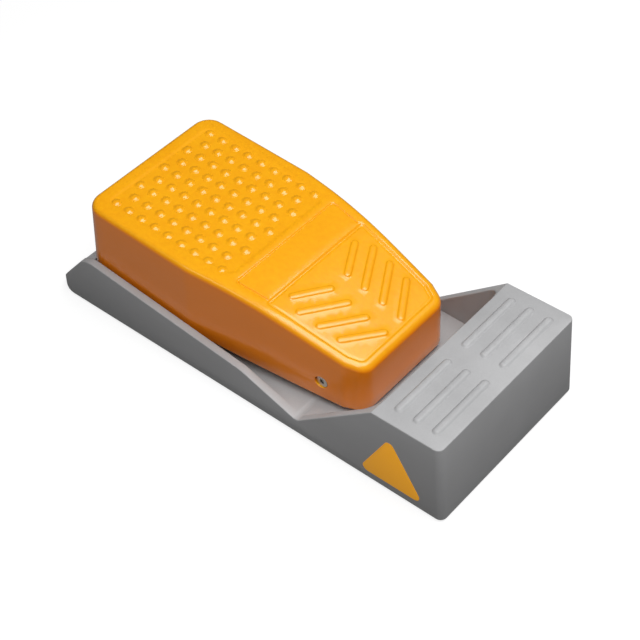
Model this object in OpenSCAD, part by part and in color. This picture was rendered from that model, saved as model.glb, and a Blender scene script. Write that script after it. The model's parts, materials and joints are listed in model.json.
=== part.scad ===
// Foot switch: a long pedal that rocks on a pin in a cast tray with a heel block.
// Millimetres. X runs from the toe end to the heel end, Y across, Z up from the floor.

/* [Base casting] */
// Length of the tray and heel block together
base_len = 240; // [225:1:260]
// Width over the side walls
base_w = 95; // [90:1:110]
// Height of the heel block above the underside
block_h = 44.5; // [42:0.5:52]
// Length of the flat top of the heel block
block_len = 35.5; // [34:0.5:44]
// Thickness of the side walls
wall_t = 3.7; // [3:0.1:4.2]
// Height of the tray floor above the underside
floor_h = 9; // [8:0.5:10]
// Thickness of the tray floor
floor_t = 5.2; // [4.6:0.1:6]
// Height of the side walls at their toe corner
rim_toe_h = 31; // [28:0.5:34]
// Height of the side walls where they start to drop to the notch
rim_knee_h = 19.5; // [18:0.5:22]
// Lean of the toe end back from upright, in degrees
toe_lean = 42; // [36:1:46]

/* [Pedal] */
// Gap between the pedal's toe edge and the toe wall
pedal_toe_gap = 5; // [3:0.5:12]
// Length of the pedal from the pivot to the heel skirt
pedal_heel_reach = 21.2; // [18:0.2:22]
// Gap between the pedal's skirt and the side walls
pedal_side_gap = 1.1; // [0.8:0.1:3]
// Width of the skirt at the heel end
pedal_heel_w = 59; // [54:1:66]
// Height of the stud plane above the pivot
pedal_rise = 29.6; // [28:0.2:32]
// Depth of the skirt below the pivot
pedal_drop = 10; // [9:0.5:11]
// Thickness of the pedal's skin
pedal_t = 3; // [2.5:0.1:3.5]
// Bend of the top towards the heel, in degrees
bend_angle = 13; // [8:1:16]
// Tilt of the pedal at rest, toe up, in degrees
rest_pitch = 4; // [3.5:0.25:4.5]
// Turn of the pedal from rest to fully pressed, in degrees
stroke = 4.5; // [3:0.5:4.5]
// Distance between the full rows of studs
stud_pitch = 8.31; // [7.4:0.01:12]
// Distance between studs across the pedal, from one row to the next
stud_row_gap = 7.86; // [6.6:0.01:11]

/* [Pivot] */
// Distance of the pivot from the heel end of the base
pivot_from_heel = 76.6; // [74:0.2:80]
// Height of the pivot above the underside of the base
pivot_h = 22.8; // [21:0.2:24]
// Diameter of the pivot pin
pin_d = 6; // [5:0.5:7]

/* [Springs and switch] */
// Outer diameter of a return spring
spring_d = 18; // [14:0.5:20]
// Wall of the room that the spring's coils take
spring_wire = 2.2; // [1.6:0.2:2.6]
// Distance of the springs from the pivot
spring_reach = 84; // [78:1:90]
// Length of the switch body
switch_len = 38; // [34:1:42]
// Thickness of the switch body
switch_w = 15; // [12:0.5:17]
// Height of the switch body
switch_h = 19; // [16:0.5:22]
// Diameter of the switch plunger
plunger_d = 6; // [5:0.5:7]

/* [Wiring compartment] */
// Diameter of the cable inlet
inlet_d = 20; // [16:0.5:20]
// Thickness of the cover under the heel block
cover_t = 3; // [2.5:0.5:4]
// Thickness of the cover's gasket
gasket_t = 1; // [0.5:0.5:1.5]
// How far the rubber feet lift the base off the floor
foot_stand = 1.5; // [1:0.5:3]

/* [Hidden] */

overrun = 1;
fit = 0.03;
gap = 0.3;
round_fn = 48;
hull_fn = 32;
arc_steps = 8;

// Colours
cast_grey = [0.66, 0.66, 0.67];
cover_grey = [0.62, 0.62, 0.63];
amber = [0.96, 0.68, 0.1];
rubber_black = [0.08, 0.08, 0.08];
case_black = [0.15, 0.15, 0.16];
ivory = [0.85, 0.84, 0.78];
zinc = [0.7, 0.7, 0.72];
pin_steel = [0.78, 0.78, 0.8];
clip_steel = [0.6, 0.6, 0.62];
spring_steel = [0.72, 0.73, 0.75];
brass = [0.75, 0.7, 0.5];
bronze = [0.75, 0.6, 0.35];

// Places along the base
heel_x = base_len / 2;
toe_x = -base_len / 2;
block_x = heel_x - block_len;
pivot_x = heel_x - pivot_from_heel;

// Toe end and side walls
base_toe_r = 10;
base_heel_r = 6;
toe_lip_h = 1;
toe_wall_h = 17;
rim_toe_r = 9;
rim_knee_r = 24;
rim_notch_r = 4;
knee_from_pivot = 35.5;
notch_from_block = 44.5;
tray_heel_r = 8;
tray_half_w = base_w / 2 - wall_t;

// Heel block
block_wall = 3.6;
block_roof = 4.5;
block_edge_r = 1.2;
block_room_r = 2.5;
block_rib_w = 4;
block_rib_h = 0.8;
block_rib_len = 37;
block_rib_pitch = 9.8;
block_rib_count = 3;
block_rib_inset = 4.8;

// Underside of the tray
under_rib_t = 3;
under_rib_count = 4;

// Pedal form, in a frame level with the studs and centred on the pivot
pedal_draft = 3.5;
pedal_edge_r = 4.5;
pedal_toe_r = 9;
pedal_heel_r = 8;
bend_r = 190;
bend_steps = 4;
bend_from_pivot = 60.5;
taper_bulge = 2.6;
skin = 0.02;
inner_edge_r = 2;

// Studs and panels
stud_r = 2.4;
stud_out = 0.9;
stud_from_toe = 13.6;
panel_depth = 0.5;
panel_border = 7;
panel_r = 4;
roof_rib_t = 2.5;
roof_rib_h = 5;
roof_rib_clear = 8;
band_from_pivot = 47.5;
band_w = 17;
chevron_w = 4;
chevron_side_room = 10.8;
chevron_toe_room = 2;
chevron_angle = 30.7;
chevron_pitch = 10.5;
chevron_count = 4;
chevron_inner = 4.3;
chevron_out = 0.7;
chevron_from_heel = 8;

// Pivot pieces
lug_gap = 28;
lug_t = 8;
lug_r = 8;
lug_foot_share = 1.4;
bush_wall = 1.5;
bush_flange = 1;
bush_flange_r = 6.5;
pin_recess = 1.5;
pin_hole_r = 4;
pin_seat = 1.5;
boss_r = 7;
clip_t = 1;
clip_r = 5.5;
clip_groove = 0.6;
clip_off = 1;
pin_cone = 1.2;

// Springs, pads and bumpers
spring_peg_clear = 0.8;
spring_peg_h = 5;
spring_side_room = 5.7;
roof_peg_clear = 2.8;
roof_peg_h = 6;
spring_switch_gap = 4;
rest_pad_len = 5;
rest_pad_w = 16;
rest_pad_spread = 14;
bumper_len = 8;
bumper_w = 18;
bumper_spread = 24;

// Switch, bracket and actuator
switch_hole_spread = 25;
switch_hole_d = 3.2;
switch_hole_h = 5;
plunger_out = 6;
plunger_stem = 10;
plunger_room = 15;
plunger_collar_r = 5;
plunger_collar_h = 1.5;
bracket_t = 1.6;
bracket_foot = 12;
bracket_hole_d = 4.2;
bracket_screw_spread = 22;
terminal_w = 6;
terminal_t = 0.8;
terminal_len = 8;
terminal_pitch = 5;
actuator_d = 5;
actuator_head_r = 4;
actuator_head_h = 3;
actuator_nut_r = 5;
actuator_nut_h = 4;
actuator_post_r = 6;
actuator_show = 1;
actuator_bite = 9;

// Wiring compartment
terminal_block_len = 30;
terminal_block_w = 14;
terminal_block_h = 12;
terminal_block_step = 4;
terminal_block_off = 4;
bracket_top_share = 0.667;
pole_pitch = 7;
pole_hole_d = 2;
terminal_count = 3;
small_screw_d = 3;
small_head_r = 2.8;
small_head_h = 2;
screw_d = 4;
screw_head_r = 3.6;
screw_head_h = 2.2;
screw_bite = 5;
cover_post_r = 4.2;
cover_post_h = 6;
cover_ledge = 1.8;
cover_fit = 0.2;
gasket_lap = 1;
foot_r = 8;
foot_sink = 1.5;
foot_inset = 22;
inlet_h = 24;
grommet_wall = 2;
grommet_flange = 1.5;
grommet_flange_t = 2;
lead_hole_d = 8;
lead_hole_rise = 7;
earth_washer_r = 5;
earth_washer_t = 1;

// Worked-out values
notch_x = block_x - notch_from_block;
knee_x = pivot_x - knee_from_pivot;
rim_top_x = toe_x + (rim_toe_h - toe_lip_h) * tan(toe_lean);
notch_h = floor_h - rim_notch_r / 4;
room_x0 = block_x + block_wall;
room_x1 = heel_x - block_wall;
room_x = (room_x0 + room_x1) / 2;
room_half_w = base_w / 2 - block_wall;
terminal_block_y = -room_half_w + terminal_block_off + terminal_block_len / 2;
earth_y = room_half_w / 3;
room_top = block_h - block_roof;
cover_seat = cover_t + gasket_t;
pin_r = pin_d / 2;
lug_bore_r = pin_r + bush_wall;
lug_y0 = lug_gap / 2;
lug_y1 = lug_y0 + lug_t;
spring_bore = spring_d - 2 * spring_wire;
spring_spread = base_w / 2 - wall_t - pedal_side_gap - pedal_t - spring_side_room - spring_d / 2;
spring_x = pivot_x - spring_reach;
bracket_len = bracket_screw_spread + bracket_foot;
plunger_reach = spring_reach - spring_d / 2 - spring_switch_gap - max(switch_len, bracket_len) / 2;
plunger_x = pivot_x - plunger_reach;
pressed_pitch = rest_pitch - stroke;
pedal_w = base_w - 2 * wall_t - 2 * pedal_side_gap;
pedal_half_w = pedal_w / 2;
pedal_heel_half_w = pedal_heel_w / 2;
bend_u0 = -bend_from_pivot;
bend_u1 = bend_u0 + bend_r * sin(bend_angle);
draft_share = tan(pedal_draft);
pedal_toe_reach = pivot_x - toe_inner_x(toe_wall_h) - pedal_toe_gap;
stud_run = pedal_toe_reach - stud_from_toe - band_from_pivot - 2 * stud_r;
stud_rows = 1 + floor(stud_run / stud_pitch);
stud_cols = 1 + floor((pedal_half_w - panel_border - stud_r) / stud_row_gap);
lead_hole_h = floor_h + lead_hole_rise;
chevron_u0 = -band_from_pivot + band_w;

// Height of the pedal's top above the pivot, at a distance from it along the pedal
function top_w(u) = u <= bend_u0 ? pedal_rise
    : u >= bend_u1 ? pedal_rise - bend_r * (1 - cos(bend_angle)) - (u - bend_u1) * tan(bend_angle)
    : pedal_rise - bend_r + sqrt(bend_r * bend_r - (u - bend_u0) * (u - bend_u0));
function top_tilt(u) = u <= bend_u0 ? 0 : u >= bend_u1 ? bend_angle : asin((u - bend_u0) / bend_r);

// Half width of the skirt's bottom edge along the pedal, straight first and then a bulged taper
function taper_run() = pedal_heel_reach - bend_u0;
function taper_at(u) = max(0, (u - bend_u0) / taper_run());
function skirt_half_w(u) = pedal_half_w - (pedal_half_w - pedal_heel_half_w) * taper_at(u)
    + 4 * taper_bulge * taper_at(u) * (1 - taper_at(u));

// Height above the underside of a point of the pedal's frame, at rest
function rest_z(u, w) = pivot_h - u * sin(rest_pitch) + w * cos(rest_pitch);
function rest_x(u, w) = pivot_x + u * cos(rest_pitch) + w * sin(rest_pitch);

// Points of an outline with its corners rounded, one radius a corner
function unit(v) = v / norm(v);
function fillet(a, b, c, r) =
    let (u = unit(a - b), v = unit(c - b), half = acos(u * v) / 2)
    let (centre = b + unit(u + v) * r / sin(half))
    let (from = b + u * r / tan(half) - centre, to = b + v * r / tan(half) - centre)
    let (start = atan2(from[1], from[0]), turn = atan2(to[1], to[0]) - start)
    let (sweep = turn > 180 ? turn - 360 : turn < -180 ? turn + 360 : turn)
    [for (i = [0:arc_steps]) let (a = start + sweep * i / arc_steps) centre + r * [cos(a), sin(a)]];
function rounded(points, radii) =
    let (n = len(points))
    [for (i = [0:n - 1])
        for (p = radii[i] > 0
            ? fillet(points[(i + n - 1) % n], points[i], points[(i + 1) % n], radii[i])
            : [points[i]])
            p];

// Lifts what is measured from the underside of the base onto the feet
module on_feet() {
    translate([0, 0, foot_stand])
        children();
}

// Turns the pedal's frame to its place at rest
module at_pivot() {
    on_feet()
        translate([pivot_x, 0, pivot_h])
            rotate([0, rest_pitch, 0])
                children();
}

// Runs an outline drawn in X and Z across the width
module across(width) {
    translate([0, width / 2, 0])
        rotate([90, 0, 0])
            linear_extrude(height = width)
                children();
}

// Rod along Y, centred
module cross_rod(r, length) {
    rotate([90, 0, 0])
        cylinder(r = r, h = length, center = true, $fn = round_fn);
}

module both_sides() {
    children();
    mirror([0, 1, 0])
        children();
}

// Flat bar with round ends along X, from the origin
module round_bar(length, width, height) {
    linear_extrude(height = height) {
        translate([width / 2, -width / 2])
            square([length - width, width]);
        for (end = [width / 2, length - width / 2])
            translate([end, 0])
                circle(d = width, $fn = round_fn);
    }
}

// Pan-head screw, head down, thread up from the origin
module screw_up(d, head_r, head_h, length) {
    translate([0, 0, -head_h])
        cylinder(r = head_r, h = head_h, $fn = round_fn);
    cylinder(d = d, h = length, $fn = round_fn);
}

// Base casting

module base_side() {
    polygon(rounded(
        [[toe_x, 0], [toe_x, toe_lip_h], [rim_top_x, rim_toe_h], [knee_x, rim_knee_h],
            [notch_x, notch_h], [block_x, block_h], [heel_x, block_h], [heel_x, 0]],
        [0, 0, rim_toe_r, rim_knee_r, rim_notch_r, 0, block_edge_r, 0]));
}

module base_plan() {
    polygon(rounded(
        [[toe_x, -base_w / 2], [toe_x, base_w / 2], [heel_x, base_w / 2], [heel_x, -base_w / 2]],
        [base_toe_r, base_toe_r, base_heel_r, base_heel_r]));
}

// Outer toe face at a height, and the wall's inner face beside it
function toe_face_x(z) = toe_x + (z - toe_lip_h) * tan(toe_lean);
function toe_inner_x(z) = toe_face_x(z) + wall_t / cos(toe_lean);

module tray_room() {
    intersection() {
        across(2 * tray_half_w)
            polygon([[toe_inner_x(floor_h), floor_h], [toe_inner_x(toe_wall_h), toe_wall_h],
                [toe_x - overrun, toe_wall_h], [toe_x - overrun, block_h + overrun],
                [block_x, block_h + overrun], [block_x, floor_h]]);
        linear_extrude(height = block_h + 2 * overrun)
            polygon(rounded(
                [[toe_x - 2 * overrun, -tray_half_w], [toe_x - 2 * overrun, tray_half_w],
                    [block_x, tray_half_w], [block_x, -tray_half_w]],
                [0, 0, tray_heel_r, tray_heel_r]));
    }
}

module room_plan(inset) {
    polygon(rounded(
        [[room_x0 + inset, -room_half_w + inset], [room_x0 + inset, room_half_w - inset],
            [room_x1 - inset, room_half_w - inset], [room_x1 - inset, -room_half_w + inset]],
        [block_room_r, block_room_r, block_room_r, block_room_r]));
}

module compartment() {
    translate([0, 0, -overrun])
        linear_extrude(height = room_top + overrun)
            room_plan(0);
    translate([0, 0, -overrun])
        linear_extrude(height = cover_seat + overrun)
            room_plan(-cover_ledge);
}

function under_x0() = toe_inner_x(floor_h - floor_t);
function under_x1() = block_x - block_wall;

module under_recess() {
    under_top = floor_h - floor_t;
    difference() {
        translate([under_x0(), -tray_half_w, -overrun])
            cube([under_x1() - under_x0(), 2 * tray_half_w, under_top + overrun]);
        for (i = [1:under_rib_count])
            translate([under_x0() + (under_x1() - under_x0()) * i / (under_rib_count + 1) - under_rib_t / 2,
                -base_w / 2, 0])
                cube([under_rib_t, base_w, floor_h]);
        translate([toe_x, -under_rib_t / 2, 0])
            cube([base_len, under_rib_t, floor_h]);
        foot_places(front = true)
            cylinder(r = foot_r + under_rib_t, h = floor_h, $fn = round_fn);
    }
}

module foot_places(front) {
    x = front ? toe_x + base_toe_r + foot_inset : room_x;
    for (side = [-1, 1])
        translate([x, side * (base_w / 2 - foot_inset), 0])
            children();
}

module cover_screw_places() {
    for (x = [room_x0 + cover_post_r, room_x1 - cover_post_r], side = [-1, 1])
        translate([x, side * (room_half_w - cover_post_r), 0])
            children();
}

module block_ribs() {
    for (i = [0:block_rib_count - 1])
        both_sides()
            translate([block_x + block_len / 2 + (i - (block_rib_count - 1) / 2) * block_rib_pitch,
                block_rib_inset, block_h - overrun])
                rotate([0, 0, 90])
                    round_bar(block_rib_len, block_rib_w, overrun + block_rib_h);
}

module lug() {
    both_sides()
        translate([0, (lug_y0 + lug_y1) / 2, 0])
            across(lug_t) {
                translate([pivot_x, pivot_h])
                    circle(r = lug_r, $fn = round_fn);
                polygon([[pivot_x - lug_r, pivot_h], [pivot_x + lug_r, pivot_h],
                    [pivot_x + lug_r * lug_foot_share, floor_h - floor_t / 2],
                    [pivot_x - lug_r * lug_foot_share, floor_h - floor_t / 2]]);
            }
}

module spring_places() {
    for (side = [-1, 1])
        translate([spring_x, side * spring_spread, floor_h])
            children();
}

module bracket_screw_places() {
    for (side = [-1, 1])
        translate([plunger_x + side * bracket_screw_spread / 2,
            -switch_w / 2 - bracket_foot / 2 - bracket_t, floor_h])
            children();
}

module roof_screw_places() {
    for (side = [-1, 1])
        translate([room_x, terminal_block_y + side * (terminal_block_len / 2 - small_screw_d), room_top])
            children();
}

module pole_places() {
    for (i = [0:terminal_count - 1])
        translate([room_x, terminal_block_y + (i - (terminal_count - 1) / 2) * pole_pitch,
            room_top - terminal_block_h])
            children();
}

module earth_place() {
    translate([room_x, earth_y, room_top])
        children();
}

module base_casting() {
    color(cast_grey)
        on_feet()
            difference() {
                union() {
                    difference() {
                        intersection() {
                            across(base_w + 2 * overrun)
                                base_side();
                            linear_extrude(height = block_h + overrun)
                                base_plan();
                        }
                        tray_room();
                        compartment();
                        under_recess();
                    }
                    block_ribs();
                    lug();
                    spring_places()
                        translate([0, 0, -overrun])
                            cylinder(d = spring_bore - 2 * spring_peg_clear, h = spring_peg_h + overrun,
                                $fn = round_fn);
                    intersection() {
                        cover_screw_places()
                            translate([0, 0, cover_seat])
                                cylinder(r = cover_post_r + cover_ledge, h = cover_post_h, $fn = round_fn);
                        linear_extrude(height = block_h)
                            room_plan(-cover_ledge / 2);
                    }
                }
                translate([pivot_x, 0, pivot_h])
                    cross_rod(lug_bore_r, base_w - 2 * wall_t - 2 * overrun);
                foot_places(front = true)
                    translate([0, 0, -overrun])
                        cylinder(r = foot_r, h = foot_sink + overrun, $fn = round_fn);
                cover_screw_places()
                    cylinder(d = screw_d, h = cover_seat + screw_bite, $fn = round_fn);
                bracket_screw_places()
                    translate([0, 0, -floor_t + overrun])
                        cylinder(d = screw_d, h = floor_t, $fn = round_fn);
                roof_screw_places()
                    cylinder(d = small_screw_d, h = small_screw_d, $fn = round_fn);
                earth_place()
                    cylinder(d = small_screw_d, h = small_screw_d, $fn = round_fn);
                translate([room_x, base_w / 2 - block_wall / 2, inlet_h])
                    cross_rod(inlet_d / 2, block_wall + 2 * overrun);
                translate([block_x - overrun, 0, lead_hole_h])
                    rotate([0, 90, 0])
                        cylinder(d = lead_hole_d, h = block_wall + 2 * overrun, $fn = round_fn);
            }
}

// Wiring compartment

module compartment_cover() {
    color(cover_grey)
        on_feet()
            difference() {
                linear_extrude(height = cover_t)
                    room_plan(cover_fit - cover_ledge);
                cover_screw_places() {
                    translate([0, 0, -overrun])
                        cylinder(d = screw_d + 2 * cover_fit, h = cover_t + 2 * overrun, $fn = round_fn);
                    translate([0, 0, -overrun])
                        cylinder(r = screw_head_r + cover_fit, h = screw_head_h + overrun, $fn = round_fn);
                }
                foot_places(front = false)
                    translate([0, 0, -overrun])
                        cylinder(r = foot_r, h = foot_sink + overrun, $fn = round_fn);
            }
}

module cover_gasket() {
    color(rubber_black)
        on_feet()
            translate([0, 0, cover_t])
                difference() {
                    union() {
                        linear_extrude(height = gasket_t)
                            difference() {
                                room_plan(cover_fit - cover_ledge);
                                room_plan(gasket_lap);
                            }
                        cover_screw_places()
                            cylinder(r = cover_post_r, h = gasket_t, $fn = round_fn);
                    }
                    cover_screw_places()
                        translate([0, 0, -overrun])
                            cylinder(d = screw_d + 2 * cover_fit, h = gasket_t + 2 * overrun,
                                $fn = round_fn);
                }
}

module cover_screws() {
    color(zinc)
        on_feet()
            cover_screw_places()
                translate([0, 0, screw_head_h])
                    screw_up(screw_d - 2 * fit, screw_head_r, screw_head_h,
                        cover_seat - screw_head_h + screw_bite - gap);
}

module rubber_feet() {
    color(rubber_black)
        on_feet()
            for (front = [true, false])
                foot_places(front)
                    translate([0, 0, -foot_stand])
                        cylinder(r = foot_r - fit, h = foot_stand + foot_sink, $fn = round_fn);
}

module grommet(hole_d, wall_len) {
    difference() {
        union() {
            cross_rod(hole_d / 2 - fit, wall_len + 2 * grommet_flange_t);
            for (side = [-1, 1])
                translate([0, side * (wall_len + grommet_flange_t) / 2, 0])
                    cross_rod(hole_d / 2 + grommet_flange, grommet_flange_t);
        }
        cross_rod(hole_d / 2 - grommet_wall, wall_len + 2 * grommet_flange_t + 2 * overrun);
    }
}

module inlet_grommet() {
    color(rubber_black)
        on_feet()
            translate([room_x, base_w / 2, inlet_h])
                rotate([90, 0, 0])
                    difference() {
                        union() {
                            cylinder(r = inlet_d / 2 - fit, h = block_wall + fit, $fn = round_fn);
                            translate([0, 0, block_wall + fit])
                                cylinder(r = inlet_d / 2 + grommet_flange, h = grommet_flange_t,
                                    $fn = round_fn);
                        }
                        translate([0, 0, -overrun])
                            cylinder(r = inlet_d / 2 - grommet_wall,
                                h = block_wall + grommet_flange_t + 2 * overrun + fit, $fn = round_fn);
                    }
}

module lead_grommet() {
    color(rubber_black)
        on_feet()
            translate([block_x + block_wall / 2, 0, lead_hole_h])
                rotate([0, 0, 90])
                    grommet(lead_hole_d, block_wall + 2 * fit);
}

module terminal_block() {
    color(ivory)
        on_feet()
            difference() {
                translate([room_x - terminal_block_w / 2, terminal_block_y - terminal_block_len / 2,
                    room_top - terminal_block_h])
                    cube([terminal_block_w, terminal_block_len, terminal_block_h]);
                pole_places() {
                    translate([0, 0, terminal_block_h / 2])
                        rotate([0, 90, 0])
                            cylinder(d = pole_hole_d, h = terminal_block_w + 2 * overrun, center = true,
                                $fn = round_fn);
                    translate([0, 0, -overrun])
                        cylinder(d = small_screw_d, h = terminal_block_step + overrun, $fn = round_fn);
                }
                roof_screw_places()
                    translate([0, 0, -terminal_block_h - overrun])
                        cylinder(d = small_screw_d + 2 * cover_fit, h = terminal_block_h + 2 * overrun,
                            $fn = round_fn);
            }
}

module terminal_screws() {
    color(brass)
        on_feet()
            pole_places()
                cylinder(d = small_screw_d - 2 * fit, h = terminal_block_step - gap, $fn = round_fn);
}

module block_screws() {
    color(zinc)
        on_feet()
            roof_screw_places()
                translate([0, 0, -terminal_block_h])
                    screw_up(small_screw_d - 2 * fit, small_head_r, small_head_h,
                        terminal_block_h + small_screw_d - gap);
}

module earth_screw() {
    color(brass)
        on_feet()
            earth_place()
                translate([0, 0, -earth_washer_t])
                    screw_up(small_screw_d - 2 * fit, small_head_r, small_head_h,
                        earth_washer_t + small_screw_d - gap);
}

module earth_washer() {
    color(zinc)
        on_feet()
            earth_place()
                translate([0, 0, -earth_washer_t])
                    difference() {
                        cylinder(r = earth_washer_r, h = earth_washer_t, $fn = round_fn);
                        translate([0, 0, -overrun])
                            cylinder(d = small_screw_d, h = earth_washer_t + 2 * overrun, $fn = round_fn);
                    }
}

// Pivot

module pivot_bushes() {
    color(bronze)
        on_feet()
            translate([pivot_x, 0, pivot_h])
                both_sides()
                    difference() {
                        union() {
                            translate([0, (lug_y0 + lug_y1) / 2, 0])
                                cross_rod(lug_bore_r - fit, lug_t);
                            translate([0, lug_y1 + bush_flange / 2, 0])
                                cross_rod(bush_flange_r, bush_flange);
                        }
                        translate([0, lug_y1, 0])
                            cross_rod(pin_r + fit, 2 * lug_t + 4 * bush_flange);
                    }
}

function clip_y() = lug_y1 + bush_flange + clip_off;
function boss_y() = clip_y() + clip_t + clip_off;
function pin_half() = skirt_half_w(0) - pedal_drop * draft_share - pin_recess;

module pivot_pin() {
    color(pin_steel)
        at_pivot()
            difference() {
                cross_rod(pin_r, 2 * pin_half());
                both_sides() {
                    translate([0, clip_y() + clip_t / 2, 0])
                        difference() {
                            cross_rod(pin_r + overrun, clip_t);
                            cross_rod(pin_r - clip_groove, clip_t + overrun);
                        }
                    translate([0, pin_half() + overrun, 0])
                        rotate([90, 0, 0])
                            cylinder(r = pin_cone, h = overrun + pin_cone, $fn = round_fn);
                }
            }
}

module pin_clips() {
    color(clip_steel)
        at_pivot()
            both_sides()
                translate([0, clip_y() + clip_t / 2, 0])
                    difference() {
                        cross_rod(clip_r, clip_t - 2 * fit);
                        cross_rod(pin_r - clip_groove + fit, clip_t + overrun);
                        translate([0, 0, -clip_r])
                            cube([pin_r, clip_t + overrun, 2 * clip_r], center = true);
                    }
}

// Springs, pads and bumpers

// Bottom of the pedal's roof over a point of the pedal's frame
function roof_w(u) = top_w(u) - pedal_t;
function spring_top() = rest_z(spring_d / 2 - spring_reach, roof_w(-spring_reach)) - gap;

module return_springs() {
    color(spring_steel)
        on_feet()
            spring_places()
                difference() {
                    cylinder(d = spring_d, h = spring_top() - floor_h, $fn = round_fn);
                    translate([0, 0, -overrun])
                        cylinder(d = spring_bore, h = spring_top() + overrun, $fn = round_fn);
                }
}

module rest_pads() {
    pad_top = rest_z(pedal_heel_reach, -pedal_drop) - gap;
    color(rubber_black)
        on_feet()
            for (side = [-1, 1])
                translate([rest_x(pedal_heel_reach - pedal_t / 2, -pedal_drop) - rest_pad_len / 2,
                    side * rest_pad_spread - rest_pad_w / 2, floor_h])
                    cube([rest_pad_len, rest_pad_w, pad_top - floor_h]);
}

module toe_bumpers() {
    bumper_top = pivot_h + pedal_toe_reach * sin(pressed_pitch) - pedal_drop * cos(pressed_pitch) - gap;
    bumper_x = pivot_x - (pedal_toe_reach - pedal_t / 2) * cos(pressed_pitch);
    color(rubber_black)
        on_feet()
            for (side = [-1, 1])
                translate([bumper_x - bumper_len / 2, side * bumper_spread - bumper_w / 2, floor_h])
                    cube([bumper_len, bumper_w, bumper_top - floor_h]);
}

// Switch

module switch_body() {
    color(case_black)
        on_feet()
            translate([plunger_x, 0, floor_h])
                difference() {
                    union() {
                        translate([-switch_len / 2, -switch_w / 2, 0])
                            cube([switch_len, switch_w, switch_h]);
                        translate([0, 0, switch_h])
                            cylinder(r = plunger_collar_r, h = plunger_collar_h, $fn = round_fn);
                    }
                    translate([0, 0, switch_h - plunger_room])
                        cylinder(d = plunger_d + 2 * fit, h = plunger_room + plunger_collar_h + overrun,
                            $fn = round_fn);
                    for (side = [-1, 1])
                        translate([side * switch_hole_spread / 2, 0, switch_hole_h])
                            cross_rod(switch_hole_d / 2, switch_w + 2 * overrun);
                }
}

module switch_plunger() {
    color(ivory)
        on_feet()
            translate([plunger_x, 0, floor_h + switch_h - plunger_stem])
                intersection() {
                    cylinder(d = plunger_d, h = plunger_stem + plunger_out, $fn = round_fn);
                    union() {
                        cylinder(r = plunger_d, h = plunger_stem, $fn = round_fn);
                        translate([0, 0, plunger_stem + plunger_out - plunger_d])
                            sphere(r = plunger_d, $fn = round_fn);
                    }
                }
}

module switch_bracket() {
    color(zinc)
        on_feet()
            translate([plunger_x, -switch_w / 2, floor_h])
                difference() {
                    union() {
                        translate([-bracket_len / 2, -bracket_t, 0])
                            cube([bracket_len, bracket_t, switch_h * bracket_top_share]);
                        translate([-bracket_len / 2, -bracket_t - bracket_foot, 0])
                            cube([bracket_len, bracket_foot + bracket_t, bracket_t]);
                    }
                    for (side = [-1, 1]) {
                        translate([side * switch_hole_spread / 2, 0, switch_hole_h])
                            cross_rod(switch_hole_d / 2, 2 * bracket_t + overrun);
                        translate([side * bracket_screw_spread / 2, -bracket_t - bracket_foot / 2,
                            -overrun])
                            cylinder(d = bracket_hole_d, h = bracket_t + 2 * overrun, $fn = round_fn);
                    }
                }
}

module switch_screws() {
    color(zinc)
        on_feet()
            for (side = [-1, 1])
                translate([plunger_x + side * switch_hole_spread / 2, switch_w / 2,
                    floor_h + switch_hole_h])
                    rotate([90, 0, 0])
                        screw_up(small_screw_d - 2 * fit, small_head_r, small_head_h,
                            switch_w + bracket_t);
}

module bracket_screws() {
    color(zinc)
        on_feet()
            bracket_screw_places()
                translate([0, 0, bracket_t])
                    rotate([180, 0, 0])
                        screw_up(screw_d - 2 * fit, screw_head_r, screw_head_h,
                            bracket_t + floor_t - overrun - gap);
}

module switch_terminals() {
    color(brass)
        on_feet()
            for (i = [-1:1])
                translate([plunger_x + switch_len / 2, -terminal_w / 2,
                    floor_h + switch_h / 2 + i * terminal_pitch])
                    cube([terminal_len, terminal_w, terminal_t]);
}

// Pedal

// One ring of the pedal's form: a rounded disc, or a plain thin one for the bottom edge
module edge_disc(r, edge) {
    rotate_extrude($fn = hull_fn)
        translate([r - edge, 0])
            intersection() {
                circle(r = edge, $fn = hull_fn);
                translate([0, -edge])
                    square([edge, 2 * edge]);
            }
}

// The pedal's outer form, or with a skin thickness the room inside it
module pedal_form(skin_t) {
    edge = skin_t > 0 ? inner_edge_r : pedal_edge_r;
    low = skin_t > 0 ? -pedal_drop - overrun : -pedal_drop;
    toe_r = pedal_toe_r - skin_t;
    heel_r = pedal_heel_r - skin_t;
    toe_u = -pedal_toe_reach + skin_t;
    heel_u = pedal_heel_reach - skin_t;
    hull() {
        both_sides() {
            translate([toe_u + toe_r, pedal_half_w - skin_t - toe_r, low])
                cylinder(r = toe_r, h = skin, $fn = hull_fn);
            translate([heel_u - heel_r, skirt_half_w(pedal_heel_reach) - skin_t - heel_r, low])
                cylinder(r = heel_r, h = skin, $fn = hull_fn);
            translate([toe_u + toe_r + top_inset(toe_u, skin_t),
                pedal_half_w - skin_t - toe_r - top_inset(toe_u, skin_t), top_w(toe_u) - skin_t - edge])
                edge_disc(toe_r, edge);
            translate([heel_u - heel_r - top_inset(heel_u, skin_t),
                skirt_half_w(pedal_heel_reach) - skin_t - heel_r - top_inset(heel_u, skin_t),
                top_w(heel_u - heel_r) - skin_t - edge])
                rotate([0, bend_angle, 0])
                    edge_disc(heel_r, edge);
            for (i = [0:bend_steps])
                ring_pair(bend_u0 + (bend_u1 - bend_u0) * i / bend_steps, skin_t, edge, low);
        }
    }
}

// How far the draft draws the top in from the bottom edge
function top_inset(u, skin_t) = (top_w(u) - skin_t + pedal_drop) * draft_share;

module ring_pair(u, skin_t, edge, low) {
    half_w = skirt_half_w(u) - skin_t;
    translate([u, half_w - edge, low])
        cylinder(r = edge, h = skin, $fn = hull_fn);
    translate([u, half_w - edge - top_inset(u, skin_t), top_w(u) - skin_t])
        rotate([0, top_tilt(u), 0])
            translate([0, 0, -edge])
                sphere(r = edge, $fn = hull_fn);
}

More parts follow.
